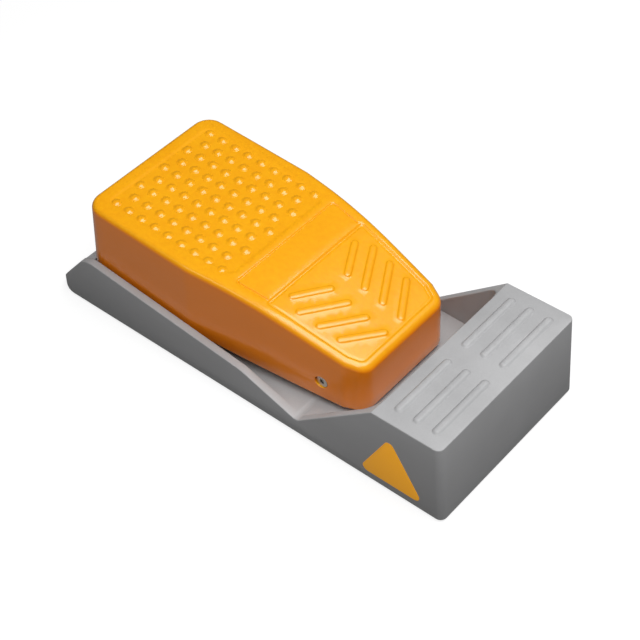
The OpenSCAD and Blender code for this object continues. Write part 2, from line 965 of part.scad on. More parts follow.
module studs() {
    for (row = [0:2 * stud_rows - 2], col = [0:2 * stud_cols - 2])
        if ((row + col) % 2 == 0)
            translate([-pedal_toe_reach + stud_from_toe + row * stud_pitch / 2,
                (col - stud_cols + 1) * stud_row_gap,
                pedal_rise - panel_depth + stud_out - stud_r])
                sphere(r = stud_r, $fn = hull_fn);
}

module stud_panel() {
    wide = pedal_half_w - panel_border;
    translate([0, 0, pedal_rise - panel_depth])
        linear_extrude(height = panel_depth + overrun)
            polygon(rounded(
                [[-pedal_toe_reach + panel_border, -wide], [-pedal_toe_reach + panel_border, wide],
                    [-band_from_pivot, wide], [-band_from_pivot, -wide]],
                [panel_r, panel_r, 0, 0]));
}

// Puts children on the heel slope, with the origin where the bend ends
module on_slope() {
    translate([bend_u1, 0, top_w(bend_u1)])
        rotate([0, bend_angle, 0])
            children();
}

function slope_len() = (pedal_heel_reach - bend_u1) / cos(bend_angle);

// Everything over the pedal's heel slope and bend, down to the panel's depth
module over_slope() {
    difference() {
        translate([bend_u0, -pedal_half_w, 0])
            cube([pedal_heel_reach - bend_u0, pedal_w, pedal_rise + overrun]);
        translate([bend_u0, 0, pedal_rise - bend_r])
            rotate([90, 0, 0])
                cylinder(r = bend_r - panel_depth, h = pedal_w + 2 * overrun, center = true, $fn = round_fn);
        on_slope()
            translate([0, -pedal_half_w - overrun, -pedal_rise - panel_depth])
                cube([pedal_rise + pedal_heel_reach, pedal_w + 2 * overrun, pedal_rise]);
    }
}

module chevron_panel() {
    u1 = pedal_heel_reach - panel_border;
    wide = skirt_half_w(chevron_u0) - panel_border;
    narrow = pedal_heel_half_w - panel_border;
    intersection() {
        linear_extrude(height = pedal_rise + overrun)
            polygon(rounded([[chevron_u0, -wide], [chevron_u0, wide], [u1, narrow], [u1, -narrow]],
                [panel_r, panel_r, panel_r, panel_r]));
        over_slope();
    }
}

// Where a chevron bar starts on the slope, and its length up to the panel's side or toe end
function chevron_x(i) = slope_len() - chevron_from_heel - (chevron_count - 1 - i) * chevron_pitch;
function slope_u(x) = bend_u1 + x * cos(bend_angle);
function bar_room(u) = skirt_half_w(u) - chevron_side_room - chevron_inner;
function chevron_len(i) =
    let (tip_x = chevron_x(i) - bar_room(slope_u(chevron_x(i))) * tan(chevron_angle))
    min(bar_room(slope_u(tip_x)) / cos(chevron_angle),
        (slope_u(chevron_x(i)) - chevron_u0 - chevron_toe_room) / cos(bend_angle) / sin(chevron_angle));

module chevrons() {
    on_slope()
        both_sides()
            for (i = [0:chevron_count - 1])
                translate([chevron_x(i), chevron_inner, -panel_depth - overrun])
                    rotate([0, 0, 90 + chevron_angle])
                        round_bar(chevron_len(i), chevron_w, overrun + chevron_out);
}

// Where the actuator screw's tip meets the plunger, above the pivot in the pedal's frame
function actuator_w() = (floor_h + switch_h + plunger_out + gap - pivot_h
    - plunger_reach * sin(rest_pitch)) / cos(rest_pitch);
function nut_w() = actuator_w() + actuator_head_h + actuator_show;

// Distances of the roof's cross ribs from the pivot, clear of the springs and the actuator's post
function roof_rib_reaches() =
    let (spring_room = spring_d / 2 + roof_rib_clear)
    [(pedal_toe_reach + spring_reach + spring_room) / 2, spring_reach + spring_room,
        spring_reach - spring_room, plunger_reach - actuator_post_r - roof_rib_clear];

module roof_ribs() {
    rib_w = pedal_rise - pedal_t - roof_rib_h;
    for (reach = roof_rib_reaches())
        translate([-reach - roof_rib_t / 2, -pedal_half_w, rib_w])
            cube([roof_rib_t, pedal_w, pedal_rise]);
    translate([-pedal_toe_reach, -roof_rib_t / 2, rib_w])
        cube([pedal_toe_reach - plunger_reach, roof_rib_t, pedal_rise]);
}

module pedal_insides() {
    roof_ribs();
    for (side = [-1, 1])
        translate([-spring_reach - roof_w(0) * sin(rest_pitch), side * spring_spread,
            roof_w(-spring_reach) - roof_peg_h])
            cylinder(d = spring_bore - 2 * roof_peg_clear, h = pedal_rise, $fn = round_fn);
    translate([-plunger_reach, 0, nut_w() + actuator_nut_h])
        cylinder(r = actuator_post_r, h = pedal_rise, $fn = round_fn);
    both_sides()
        translate([0, boss_y() + pedal_half_w / 2, 0])
            cross_rod(boss_r, pedal_half_w);
}

module pedal_shell() {
    color(amber)
        at_pivot()
            difference() {
                union() {
                    difference() {
                        pedal_form(0);
                        stud_panel();
                        chevron_panel();
                    }
                    studs();
                    chevrons();
                }
                difference() {
                    pedal_form(pedal_t);
                    pedal_insides();
                }
                cross_rod(pin_r + fit, pedal_w);
                both_sides()
                    translate([0, pin_half() - pin_seat + pedal_half_w / 2, 0])
                        cross_rod(pin_hole_r, pedal_half_w);
                translate([-plunger_reach, 0, nut_w()])
                    cylinder(d = actuator_d, h = actuator_nut_h + actuator_bite, $fn = round_fn);
            }
}

module actuator_screw() {
    color(zinc)
        at_pivot()
            translate([-plunger_reach, 0, actuator_w() + actuator_head_h])
                screw_up(actuator_d - 2 * fit, actuator_head_r, actuator_head_h,
                    actuator_show + actuator_nut_h + actuator_bite - gap);
}

module actuator_nut() {
    color(clip_steel)
        at_pivot()
            translate([-plunger_reach, 0, nut_w()])
                difference() {
                    cylinder(r = actuator_nut_r, h = actuator_nut_h, $fn = 6);
                    translate([0, 0, -overrun])
                        cylinder(d = actuator_d, h = actuator_nut_h + 2 * overrun, $fn = round_fn);
                }
}

base_casting();
compartment_cover();
cover_gasket();
cover_screws();
rubber_feet();
inlet_grommet();
lead_grommet();
pivot_bushes();
return_springs();
rest_pads();
toe_bumpers();
switch_body();
switch_bracket();
switch_screws();
bracket_screws();
switch_terminals();
terminal_block();
terminal_screws();
block_screws();
earth_screw();
earth_washer();
pedal_shell();
pivot_pin();
pin_clips();
actuator_screw();
actuator_nut();
switch_plunger();
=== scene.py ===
"""Dresses the foot switch: its painted castings, its fittings, the stage and the camera."""

import json
import math

import bmesh
import bpy
from mathutils import Matrix, Vector
from mathutils.geometry import convex_hull_2d, delaunay_2d_cdt


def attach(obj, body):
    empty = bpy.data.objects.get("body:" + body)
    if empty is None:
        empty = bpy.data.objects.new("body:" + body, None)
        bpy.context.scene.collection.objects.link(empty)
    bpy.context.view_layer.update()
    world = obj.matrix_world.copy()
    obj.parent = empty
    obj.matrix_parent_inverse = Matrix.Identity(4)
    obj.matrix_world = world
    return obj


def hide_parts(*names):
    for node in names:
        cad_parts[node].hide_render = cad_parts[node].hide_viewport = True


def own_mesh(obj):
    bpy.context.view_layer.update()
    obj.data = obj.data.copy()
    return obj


bl_info = {
    "name": "Foot Switch",
    "version": (1, 0, 0),
    "blender": (4, 5, 0),
    "location": "3D View > Sidebar > Foot Switch",
    "description": "Makes the visible pieces and the stage of a studded foot switch",
    "category": "Add Mesh",
}

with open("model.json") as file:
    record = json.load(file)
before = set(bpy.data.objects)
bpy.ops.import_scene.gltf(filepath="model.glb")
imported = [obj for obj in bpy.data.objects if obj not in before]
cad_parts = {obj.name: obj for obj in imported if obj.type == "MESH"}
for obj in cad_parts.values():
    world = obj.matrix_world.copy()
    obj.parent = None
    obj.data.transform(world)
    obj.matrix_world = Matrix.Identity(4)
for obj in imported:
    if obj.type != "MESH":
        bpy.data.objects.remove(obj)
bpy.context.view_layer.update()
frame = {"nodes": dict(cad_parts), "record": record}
MM = 0.001

# Sizes of the switch in millimetres. The pedal's height, taper and toe, and the walls' drafts and toe
# corners, follow the photograph more closely than the solids do. The pedal's own frame is centred on
# the pivot: u along the pedal towards the heel, v across, w square to the studs.
FOOT = 1.5
PIVOT = Vector((43.4, 0.0, 22.8 + FOOT))
REST_PITCH = math.radians(4)
HALF_LEN, HALF_W = 120.0, 47.5
BLOCK_X, BLOCK_H = 84.5, 44.5
WALL, BLOCK_WALL = 3.7, 3.6
FLOOR_H, FLOOR_T = 9.0, 5.2
TOE_LEAN = math.radians(42)
TOE_U, HEEL_U = -139.7, 21.2
SIDE_V, HEEL_V, TAPER_U, SIDE_BULGE = 42.7, 30.3, -72.0, 0.7
RISE, DROP, SKIN, ROOF = 30.65, 10.0, 3.0, 4.05
BEND = math.radians(13)
BEND_R, BEND_U = 190.0, -60.5
BEND_END = BEND_U + BEND_R * math.sin(BEND)
DRAFT = math.tan(math.radians(1.6))
WALL_DRAFT, HEEL_DRAFT = 0.4, 0.9
EDGE_R = 3.1
TOE_R, HEEL_R, LIP_R = 10.6, 8.0, 0.7
SPRING_REACH, SPRING_Y = 84.0, 25.0
RUBBER_X, RUBBER_Y = -88.0, 25.5
PIN_HOLE_R, PIN_BORE_R = 3.3, 3.03
BOSS_Y, BOSS_R, BOSS_LEN = 28.65, 7.0, 5.3
RIB_DEPTH, RIB_HALF = 5.0, 1.25
LUG_R, BUSH_R = 8, 4.5
INLET_Z, INLET_R, LEAD_Z, LEAD_R = 24, 10, 16, 4
POST_IN, POST_R, SCREW_R = 4.2, 4.6, 2


# Node building


def feed(tree, socket, value):
    """Links a socket to a value that varies, or sets it to one that doesn't."""
    if isinstance(value, Value):
        value = value.socket
    if isinstance(value, bpy.types.NodeSocket):
        tree.links.new(value, socket)
    elif value is not None:
        socket.default_value = (*value, 1) if socket.type == "RGBA" and len(value) == 3 else value


def add_node(tree, kind, settings=None, *values, **named):
    """Adds a node: its settings first, then its inputs in order or by name."""
    node = tree.nodes.new(kind)
    for key, value in (settings or {}).items():
        setattr(node, key, value)
    for key, value in [*enumerate(values), *((k.replace("_", " "), v) for k, v in named.items())]:
        feed(tree, node.inputs[key], value)
    return node


class Value:
    """A node's output, on which Python's operators add Math nodes."""

    def __init__(self, shader, socket):
        self.shader = shader
        self.socket = socket

    def _math(self, operation, *values):
        node = self.shader.node("ShaderNodeMath", {"operation": operation}, *values)
        return Value(self.shader, node.outputs[0])

    def __add__(self, other):
        return self._math("ADD", self, other)

    __radd__ = __add__

    def __mul__(self, other):
        return self._math("MULTIPLY", self, other)

    __rmul__ = __mul__

    def __sub__(self, other):
        return self._math("SUBTRACT", self, other)

    def __rsub__(self, other):
        return self._math("SUBTRACT", other, self)

    def __abs__(self):
        return self._math("ABSOLUTE", self)


class Finish:
    """One material and its nodes."""

    def __init__(self, name):
        self.material = bpy.data.materials.new(name)
        self.material.use_nodes = True
        self.tree = self.material.node_tree
        self.tree.nodes.clear()
        self.out = self.node("ShaderNodeOutputMaterial")
        self.place = Value(self, self.node("ShaderNodeTexCoord").outputs["Object"])

    def node(self, kind, settings=None, *values, **named):
        return add_node(self.tree, kind, settings, *values, **named)

    def stretched(self, x, y, z):
        """Object coordinates, scaled along each axis."""
        return Value(self, self.node("ShaderNodeMapping", {}, self.place, Scale=(x, y, z)).outputs[0])

    def noise(self, scale, detail=2.0, roughness=0.5, place=None):
        """Noise with its grain in metres: scale is how many grains there are in one."""
        node = self.node("ShaderNodeTexNoise", {"noise_dimensions": "3D"}, Vector=place or self.place, Scale=scale,
                         Detail=detail, Roughness=roughness)
        return Value(self, node.outputs[0])

    def spread(self, value, low, high, to_low=0.0, to_high=1.0):
        """Value from low to high, taken to another range and held inside it."""
        node = self.node("ShaderNodeMapRange", {"clamp": True}, value, low, high, to_low, to_high)
        return Value(self, node.outputs[0])

    def blend(self, amount, first, second):
        """Colour between two colours."""
        node = self.node("ShaderNodeMix", {"data_type": "RGBA"})
        for index, value in ((0, amount), (6, first), (7, second)):
            feed(self.tree, node.inputs[index], value)
        return Value(self, node.outputs[2])

    def facing_up(self):
        """How far the surface looks up, from -1 to 1."""
        normal = self.node("ShaderNodeNewGeometry").outputs["Normal"]
        return Value(self, self.node("ShaderNodeSeparateXYZ", {}, normal).outputs[2])

    def surface(self, colour, roughness, height, depth, metallic=0.0, **constants):
        """Ends the material in one shader, bumped by a height over a depth in metres."""
        shader = self.node("ShaderNodeBsdfPrincipled", {}, Base_Color=colour, Roughness=roughness,
                           Metallic=metallic, **constants)
        bump = self.node("ShaderNodeBump", {}, Height=height, Distance=depth, Strength=1.0)
        self.tree.links.new(bump.outputs[0], shader.inputs["Normal"])
        self.tree.links.new(shader.outputs[0], self.out.inputs[0])
        return self.material


def linear(r, g, b):
    """A colour as it is seen, 0 to 255, as the shader takes it."""
    return tuple((c / 255 / 12.92) if c <= 10 else ((c / 255 + 0.055) / 1.055) ** 2.4 for c in (r, g, b))


def toned(colour, *factors):
    """A colour times one factor, or one for each channel, and no brighter than white."""
    return tuple(min(1, c * k) for c, k in zip(colour, factors * (3 // len(factors))))


def amber_paint(name, colour, side, peel):
    """Thick gloss paint over a sand-cast skin with its orange peel, and painted shade: the upright walls take a deeper,
    redder copy of the paint.
    """
    f = Finish(name)
    mottle = f.noise(420, 3, 0.6)
    cloud = f.noise(28)
    tone = f.spread(mottle * 0.6 + cloud * 0.4, 0.35, 0.65)
    warm, pale = toned(colour, 0.97, 0.92, 0.85), toned(colour, 1.02, 1.06, 1.2)
    # Painted shade: faces that look away from up are given the side colour, a deeper copy of the paint.
    upright = f.spread(f.facing_up(), 0.75, 0.15)
    rub = f.spread(f.noise(900), 0.3, 0.7)
    bumps = f.noise(520, 2, 0.45) + f.noise(1500, 1, 0.5) * 0.25
    return f.surface(f.blend(upright, f.blend(tone, warm, pale), side),
                     f.spread(cloud + rub * 0.3, 0.4, 0.95, 0.4, 0.52), height=bumps, depth=peel * MM,
                     IOR=1.5, Specular_IOR_Level=0.2, Coat_Weight=1.0, Coat_Roughness=0.16)


def grey_paint(name, colour):
    """Satin grey lacquer on a die casting, with soft flow streaks along it, and painted shade that darkens the upright
    walls.
    """
    f = Finish(name)
    streak = f.noise(55, 3, 0.55, f.stretched(0.35, 1.0, 1.0))
    grain = f.noise(1400)
    cloud = f.noise(18)
    tone = f.spread(streak * 0.5 + cloud * 0.3 + grain * 0.2, 0.36, 0.64)
    dark, pale, wall_shade_grey = toned(colour, 0.9), toned(colour, 1.07), toned(colour, 0.82)
    # Painted shade: upright walls take darker copies of the grey than the tops and undersides.
    upright = f.spread(abs(f.facing_up()), 0.7, 0.1)
    return f.surface(f.blend(upright, f.blend(tone, dark, pale), f.blend(tone, wall_shade_grey, dark)),
                     f.spread(cloud * 0.6 + grain * 0.4, 0.35, 0.65, 0.38, 0.52),
                     height=f.noise(700), depth=0.02 * MM, IOR=1.48)


def bare_metal(name, colour, roughness, brushed=(1.0, 1.0, 1.0)):
    """Plated or bare metal with fine tool marks."""
    f = Finish(name)
    marks = f.noise(2600, 2, 0.6, f.stretched(*brushed))
    stain = f.noise(140, 3, 0.6)
    rough = f.spread(marks * 0.5 + stain * 0.5, 0.3, 0.7, roughness * 0.75, min(1, roughness * 1.35))
    return f.surface(f.blend(f.spread(stain, 0.35, 0.65), toned(colour, 0.72), colour), rough, marks, 0.01 * MM, 1.0)


def moulded(name, colour, roughness, grain=900, depth=0.02):
    """Moulded plastic or rubber with a fine grain and paler rubbed places."""
    f = Finish(name)
    skin = f.noise(grain)
    dust = f.spread(f.noise(90, 4, 0.6), 0.45, 0.75)
    pale = tuple(min(1, c * 1.25 + 0.01) for c in colour)
    rough = f.spread(dust + skin * 0.3, 0.1, 1.2, roughness * 0.9, roughness * 1.1)
    return f.surface(f.blend(dust, colour, pale), rough, skin, depth * MM)


def foil(name, colour, glow):
    """Foil with a fine print grain, and a painted glow that makes it a little brighter than the light on it."""
    f = Finish(name)
    grain = f.noise(1500)
    ink = f.blend(f.spread(grain, 0.35, 0.65), toned(colour, 0.94), colour)
    # Painted light: the foil gives off light in its own colour, though it is no lamp.
    return f.surface(ink, f.spread(grain, 0.3, 0.7, 0.3, 0.4), grain, 0.004 * MM, Emission_Color=colour,
                     Emission_Strength=glow)


FINISHES = {}


def make_finishes(hues):
    """Every finish of the switch, by the name of its slot."""
    FINISHES.update(
        amber=amber_paint("amber_paint", tuple(hues.pedal), tuple(hues.pedal_wall_shade), 0.05),
        cast_grey=grey_paint("grey_lacquer", tuple(hues.casting)),
        cover_grey=grey_paint("grey_cover_paint", toned(hues.casting, 0.8)),
        black_rubber=moulded("black_rubber", (0.018, 0.018, 0.019), 0.8, 1300, 0.03),
        black_case=moulded("black_case", (0.022, 0.022, 0.024), 0.42),
        ivory=moulded("ivory_plastic", (0.62, 0.58, 0.46), 0.35),
        zinc=bare_metal("zinc_plate", (0.56, 0.57, 0.6), 0.34),
        pin_steel=bare_metal("turned_steel", (0.6, 0.58, 0.54), 0.28, (1, 0.1, 1)),
        spring_steel=bare_metal("spring_steel", (0.3, 0.3, 0.31), 0.36),
        brass=bare_metal("brass", (0.72, 0.5, 0.2), 0.32),
        bronze=bare_metal("sintered_bronze", (0.5, 0.32, 0.16), 0.5),
        # The mark's 0.22 is the strength of its painted glow.
        mark=foil("mark_foil", tuple(hues.mark), 0.22))


# Mesh helpers


def placed(name, data):
    """A new object in the scene."""
    obj = bpy.data.objects.new(name, data)
    bpy.context.scene.collection.objects.link(obj)
    return obj


def evaluated(obj):
    """A new mesh of an object with its modifiers applied."""
    bpy.context.view_layer.update()
    return bpy.data.meshes.new_from_object(obj.evaluated_get(bpy.context.evaluated_depsgraph_get()))


def in_metres(points):
    return [(x * MM, y * MM, z * MM) for x, y, z in points]


def from_pedal(u, v, w):
    """A point of the pedal's frame in the row frame, in millimetres, at rest."""
    c, s = math.cos(REST_PITCH), math.sin(REST_PITCH)
    return Vector((PIVOT.x + u * c + w * s, v, PIVOT.z - u * s + w * c))


def new_piece(name, points, faces, slot, smooth=35.0):
    """A mesh object from points in millimetres."""
    mesh = bpy.data.meshes.new(name)
    mesh.from_pydata(in_metres(points), [], faces)
    return finish_piece(name, mesh, slot, smooth)


def finish_piece(name, mesh, slot, smooth=35.0):
    """Gives a mesh its normals, its shading and its finish."""
    bm = bmesh.new()
    bm.from_mesh(mesh)
    bmesh.ops.remove_doubles(bm, verts=bm.verts, dist=0.002 * MM)
    bmesh.ops.dissolve_degenerate(bm, edges=bm.edges, dist=0.001 * MM)
    bmesh.ops.recalc_face_normals(bm, faces=bm.faces)
    bm.to_mesh(mesh)
    bm.free()
    for polygon in mesh.polygons:
        polygon.use_smooth = True
    mesh.set_sharp_from_angle(angle=math.radians(smooth))
    mesh.materials.clear()
    mesh.materials.append(FINISHES[slot])
    return placed(name, mesh)


def baked(obj, name, slot, smooth):
    """A plain mesh object of another with its modifiers applied; the other is removed."""
    mesh = evaluated(obj)
    mesh.transform(obj.matrix_world)
    bpy.data.objects.remove(obj, do_unlink=True)
    return finish_piece(name, mesh, slot, smooth)


def join(name, pieces, slot, smooth=35.0):
    """Several pieces as one."""
    bm = bmesh.new()
    for piece in pieces:
        bm.from_mesh(piece.data)
        bpy.data.objects.remove(piece, do_unlink=True)
    mesh = bpy.data.meshes.new(name)
    bm.to_mesh(mesh)
    bm.free()
    return finish_piece(name, mesh, slot, smooth)


def tube_faces(n, rings):
    """Faces between rings of n points each, one ring after another."""
    return [(r * n + i, r * n + (i + 1) % n, (r + 1) * n + (i + 1) % n, (r + 1) * n + i)
            for r in range(rings - 1) for i in range(n)]


def closed_tube(n, rings=2):
    """The same with both ends closed."""
    return [tuple(range(n)), tuple(range(rings * n - 1, (rings - 1) * n - 1, -1))] + tube_faces(n, rings)


def extrude_y(outline, y0, y1):
    """Points and faces of an outline in X and Z, run across."""
    return [(x, y, z) for y in (y0, y1) for x, z in outline], closed_tube(len(outline))


def extrude_z(outline, z0, z1):
    """Points and faces of an outline in X and Y, run upwards."""
    return [(x, y, z) for z in (z0, z1) for x, y in outline], closed_tube(len(outline))


def arc(centre, r, steps, start=0.0, turn=2 * math.pi, last=0):
    """Points round a centre from an angle through a turn; last is 1 to have its end too."""
    angles = [start + turn * k / steps for k in range(steps + last)]
    return [(centre[0] + r * math.cos(a), centre[1] + r * math.sin(a)) for a in angles]


def rounded(corners, radii, steps):
    """An outline with each corner rounded to its own radius."""
    points = []
    n = len(corners)
    for i, (corner, r) in enumerate(zip(corners, radii)):
        b = Vector(corner)
        if r <= 0:
            points.append(tuple(b))
            continue
        a, c = Vector(corners[i - 1]), Vector(corners[(i + 1) % n])
        to_a, to_c = (a - b).normalized(), (c - b).normalized()
        half = math.acos(max(-1, min(1, to_a.dot(to_c)))) / 2
        centre = b + (to_a + to_c).normalized() * r / math.sin(half)
        first = b + to_a * r / math.tan(half) - centre
        last = b + to_c * r / math.tan(half) - centre
        start = math.atan2(first.y, first.x)
        turn = (math.atan2(last.y, last.x) - start + math.pi) % (2 * math.pi) - math.pi
        points += arc(centre, r, steps, start, turn, 1)
    return points


def cylinder(axis, centre, r, length):
    """Points and faces of a rod along an axis, 0 to 2, centred."""
    points, sides = [], 48
    for end in (-length / 2, length / 2):
        for a, b in arc((0.0, 0.0), r, sides):
            p = [0.0, 0.0, 0.0]
            p[axis], p[(axis + 1) % 3], p[(axis + 2) % 3] = end, a, b
            points.append(tuple(c + q for c, q in zip(centre, p)))
    return points, closed_tube(sides)


def cut(target, tools, operation="DIFFERENCE"):
    """Cuts tools out of a piece, or keeps what it shares with them, by exact booleans; the tools are removed."""
    for tool in tools:
        step = target.modifiers.new("cut", "BOOLEAN")
        step.operation = operation
        step.solver = "EXACT"
        step.object = tool
    mesh = evaluated(target)
    target.modifiers.clear()
    target.data = mesh
    for tool in tools:
        bpy.data.objects.remove(tool, do_unlink=True)
    return target


def solid(points_faces):
    """A closed body, as a tool or a part of the casting."""
    return new_piece("solid", *points_faces, "cast_grey")


# Pedal


def top_w(u):
    """Height of the pedal's top over the pivot."""
    if u <= BEND_U:
        return RISE
    if u >= BEND_END:
        return RISE - BEND_R * (1 - math.cos(BEND)) - (u - BEND_END) * math.tan(BEND)
    return RISE - BEND_R + math.sqrt(BEND_R ** 2 - (u - BEND_U) ** 2)


def skirt_v(u):
    """Half width of the pedal's bottom edge."""
    t = max(0.0, (u - TAPER_U) / (HEEL_U - TAPER_U))
    return SIDE_V - (SIDE_V - HEEL_V) * t + 4 * SIDE_BULGE * t * (1 - t)


def skirt_outline():
    """The bottom edge seen from above, closed, as (u, v) points a few millimetres apart."""
    cloud, start, end, count = [], TAPER_U, HEEL_U - 10, 24
    for side in (-1, 1):
        for cu, cv, r in ((TOE_U + TOE_R, SIDE_V - TOE_R, TOE_R), (HEEL_U - HEEL_R, HEEL_V - HEEL_R, HEEL_R)):
            cloud += arc((cu, side * cv), r, 64)
        for k in range(count + 1):
            u = start + (end - start) * k / count
            cloud.append((u, side * skirt_v(u)))
    return fill_gaps([cloud[i] for i in convex_hull_2d(cloud)], 2.5)


def edges_of(ring):
    """The ends of each edge of a closed outline."""
    return [(Vector(p), Vector(q)) for p, q in zip(ring, ring[1:] + ring[:1])]


def fill_gaps(ring, step):
    """Adds points so that none of a closed outline's edges is longer than step."""
    points = []
    for a, b in edges_of(ring):
        count = max(1, math.ceil((b - a).length / step))
        points += [tuple(a.lerp(b, k / count)) for k in range(count)]
    return points


def inward(ring):
    """The unit vector into a closed outline at each of its points."""
    edges, vectors = edges_of(ring), []
    turn = 1 if sum(a.x * b.y - b.x * a.y for a, b in edges) > 0 else -1
    for (a, b), (_, c) in zip(edges[-1:] + edges[:-1], edges):
        t = ((b - a).normalized() + (c - b).normalized()).normalized()
        vectors.append(Vector((-t.y, t.x)) * turn)
    return vectors


def inside(ring, u, v):
    """Whether a point lies in a closed outline."""
    hit = False
    for (u0, v0), (u1, v1) in zip(ring, ring[1:] + ring[:1]):
        if (v0 > v) != (v1 > v) and u < (u1 - u0) * (v - v0) / (v1 - v0) + u0:
            hit = not hit
    return hit


def near(ring, u, v, reach):
    """Whether a point lies within reach of an outline's points."""
    return any(abs(p[0] - u) < reach and abs(p[1] - v) < reach for p in ring)


def half_planes(ring):
    """A convex outline's edges as (normal inwards, offset)."""
    centre = sum((Vector(p) for p in ring), Vector((0, 0))) / len(ring)
    planes = []
    for a, b in edges_of(ring):
        if (b - a).length < 1e-5:
            continue
        along = (b - a).normalized()
        normal = Vector((-along.y, along.x))
        if normal.dot(centre - a) < 0:
            normal = -normal
        planes.append((normal, normal.dot(a)))
    return planes


def depth_in(planes, point):
    """How far a point lies inside a convex outline."""
    return min(n.dot(point) - c for n, c in planes)


def clipped(ring, normal, offset):
    """The part of a convex outline on the inner side of a line."""
    out = []
    for a, b in edges_of(ring):
        da, db = normal.dot(a) - offset, normal.dot(b) - offset
        if da >= 0:
            out.append(tuple(a))
        if (da > 0 > db) or (da < 0 < db):
            out.append(tuple(a.lerp(b, da / (da - db))))
    return out


def inset(ring, by):
    """A convex outline drawn in on all sides."""
    out = ring
    for normal, offset in half_planes(ring):
        out = clipped(out, normal, offset + by)
    return out


def softened(ring, r):
    """A convex outline with no corner sharper than r."""
    cloud = []
    for p in inset(ring, r):
        cloud += arc(p, r, 24)
    return [cloud[i] for i in convex_hull_2d(cloud)]


def panel_outline(ring, u0, u1, border, r):
    """A panel's outline: the face's own, drawn in and cut off at both ends."""
    part = clipped(inset(ring, border), Vector((1, 0)), u0)
    return softened(clipped(part, Vector((-1, 0)), -u1), r)


def from_line(a, b, point):
    """Distance of a point from a stretch of line."""
    along = b - a
    t = max(0.0, min(1.0, (point - a).dot(along) / along.length_squared))
    return (a + along * t - point).length


def between(steps, place):
    """Height at a place on a profile of (place, height) steps."""
    if place <= steps[0][0]:
        return steps[0][1]
    for (x0, h0), (x1, h1) in zip(steps, steps[1:]):
        if place <= x1:
            return h0 + (h1 - h0) * (place - x0) / (x1 - x0)
    return steps[-1][1]


def stadium(a, b, r):
    """Outline round a line from a to b at a distance."""
    base, steps, ring = math.atan2(b.y - a.y, b.x - a.x), 7, []
    for centre, start in ((b, base - math.pi / 2), (a, base + math.pi / 2)):
        ring += arc(centre, r, steps, start, math.pi, 1)
    return fill_gaps(ring, 3.0)


def chevron_lines(size):
    """The middle lines of the chevron bars on the heel slope, far side and near side."""
    inner = [28.5, 38.2, 48.3, 58.5]
    outer = [(18.3, 22.7), (25.7, 26.8), (36.0, 25.7), (46.4, 24.3)]
    lines = []
    for x0, (x1, v1) in zip(inner, outer):
        a, b = Vector((slope_u(x0), 4.3)), Vector((slope_u(x1), v1))
        along = (b - a).normalized() * size.chevron_width / 2
        for side in (1, -1):
            lines.append(((a.x + along.x, side * (a.y + along.y)), (b.x - along.x, side * (b.y - along.y))))
    return lines


def slope_u(x):
    """Place along the pedal of a point of its top that stands over x in the row frame."""
    u = x - PIVOT.x
    for _ in range(6):
        u = (x - PIVOT.x - top_w(u) * math.sin(REST_PITCH)) / math.cos(REST_PITCH)
    return u


def panel_steps(depth, width, floor):
    """A panel's edge from outside in, as (inset, height) steps: down to its groove and up to its floor."""
    if floor <= -depth:
        return [(width * x, -depth * y) for x, y in ((0, 0), (0.25, 0.12), (0.5, 0.5), (0.75, 0.88), (1, 1))]
    down = ((0, 0), (0.1, 0.1), (0.25, 0.5), (0.4, 0.9), (0.52, 1))
    up = ((0.66, 0.15), (0.82, 0.75), (0.92, 0.96), (1, 1))
    return [(width * x, -depth * y) for x, y in down] + [(width * x, (floor + depth) * y - depth) for x, y in up]


def pedal_face(ring, size):
    """Mesh of the pedal's face inside a ring: (points, triangles) with the panels and chevron bars."""
    line_1, line_2 = slope_u(-4.0), slope_u(13.1)
    panels = []
    for u0, u1, border, r, depth, width, floor in (
            (TOE_U + 8.5, line_1 - 2.6, 4.0, 4.0, size.stud_depth, 2.2, -size.stud_depth),
            (line_1, line_2 + 2.2, 2.1, 2.0, size.band_depth, 1.3, -0.03),
            (line_2, HEEL_U, size.rim_width, 2.2, size.chevron_depth, 2.6, -size.chevron_floor)):
        outline = panel_outline(ring, u0, u1, border, r)
        panels.append((outline, half_planes(outline), panel_steps(depth, width, floor)))
    half = size.chevron_width / 2
    bar_steps = [(half * share, size.chevron_height * rise) for share, rise in (
        (0.0, 1.0), (0.3, 0.99), (0.6, 0.92), (0.8, 0.76), (0.93, 0.48), (1.03, 0.2), (1.15, 0.06), (1.3, 0.0))]
    bars = [(Vector(a), Vector(b)) for a, b in chevron_lines(size)]

    def relief(u, v):
        point = Vector((u, v))
        height = 0.0
        for _, planes, steps in panels:
            depth = depth_in(planes, point)
            if depth > 0:
                height = between(steps, depth)
        near_bar = min(from_line(a, b, point) for a, b in bars)
        return height + between(bar_steps, near_bar)

    points, edges = [], []

    def loop(outline):
        start, n = len(points), len(outline)
        points.extend(Vector(p) for p in outline)
        edges.extend((start + i, start + (i + 1) % n) for i in range(n))

    loop(ring)
    rings = [ring]
    for outline, _, steps in panels:
        for by, _ in [(0, 0)] + steps[1:] + [(steps[-1][0] + 0.25, 0)]:
            rings.append(fill_gaps(inset(outline, by), 1.8))
            loop(rings[-1])
    for a, b in bars:
        for r, _ in bar_steps[1:]:
            loop(stadium(a, b, r))
    u, step = TOE_U, 2.6
    while u < HEEL_U:
        v = -SIDE_V
        while v < SIDE_V:
            point = Vector((u, v))
            if inside(ring, u, v) and not any(near(r, u, v, 1.2) for r in rings) \
                    and min(from_line(a, b, point) for a, b in bars) > half * 1.3 + 0.8:
                points.append(point)
            v += step
        u += step
    verts, _, faces, _, _, _ = delaunay_2d_cdt(points, edges, [], 1, 1e-4)
    return [(p.x, p.y, top_w(p.x) + relief(p.x, p.y)) for p in verts], [tuple(f) for f in faces]


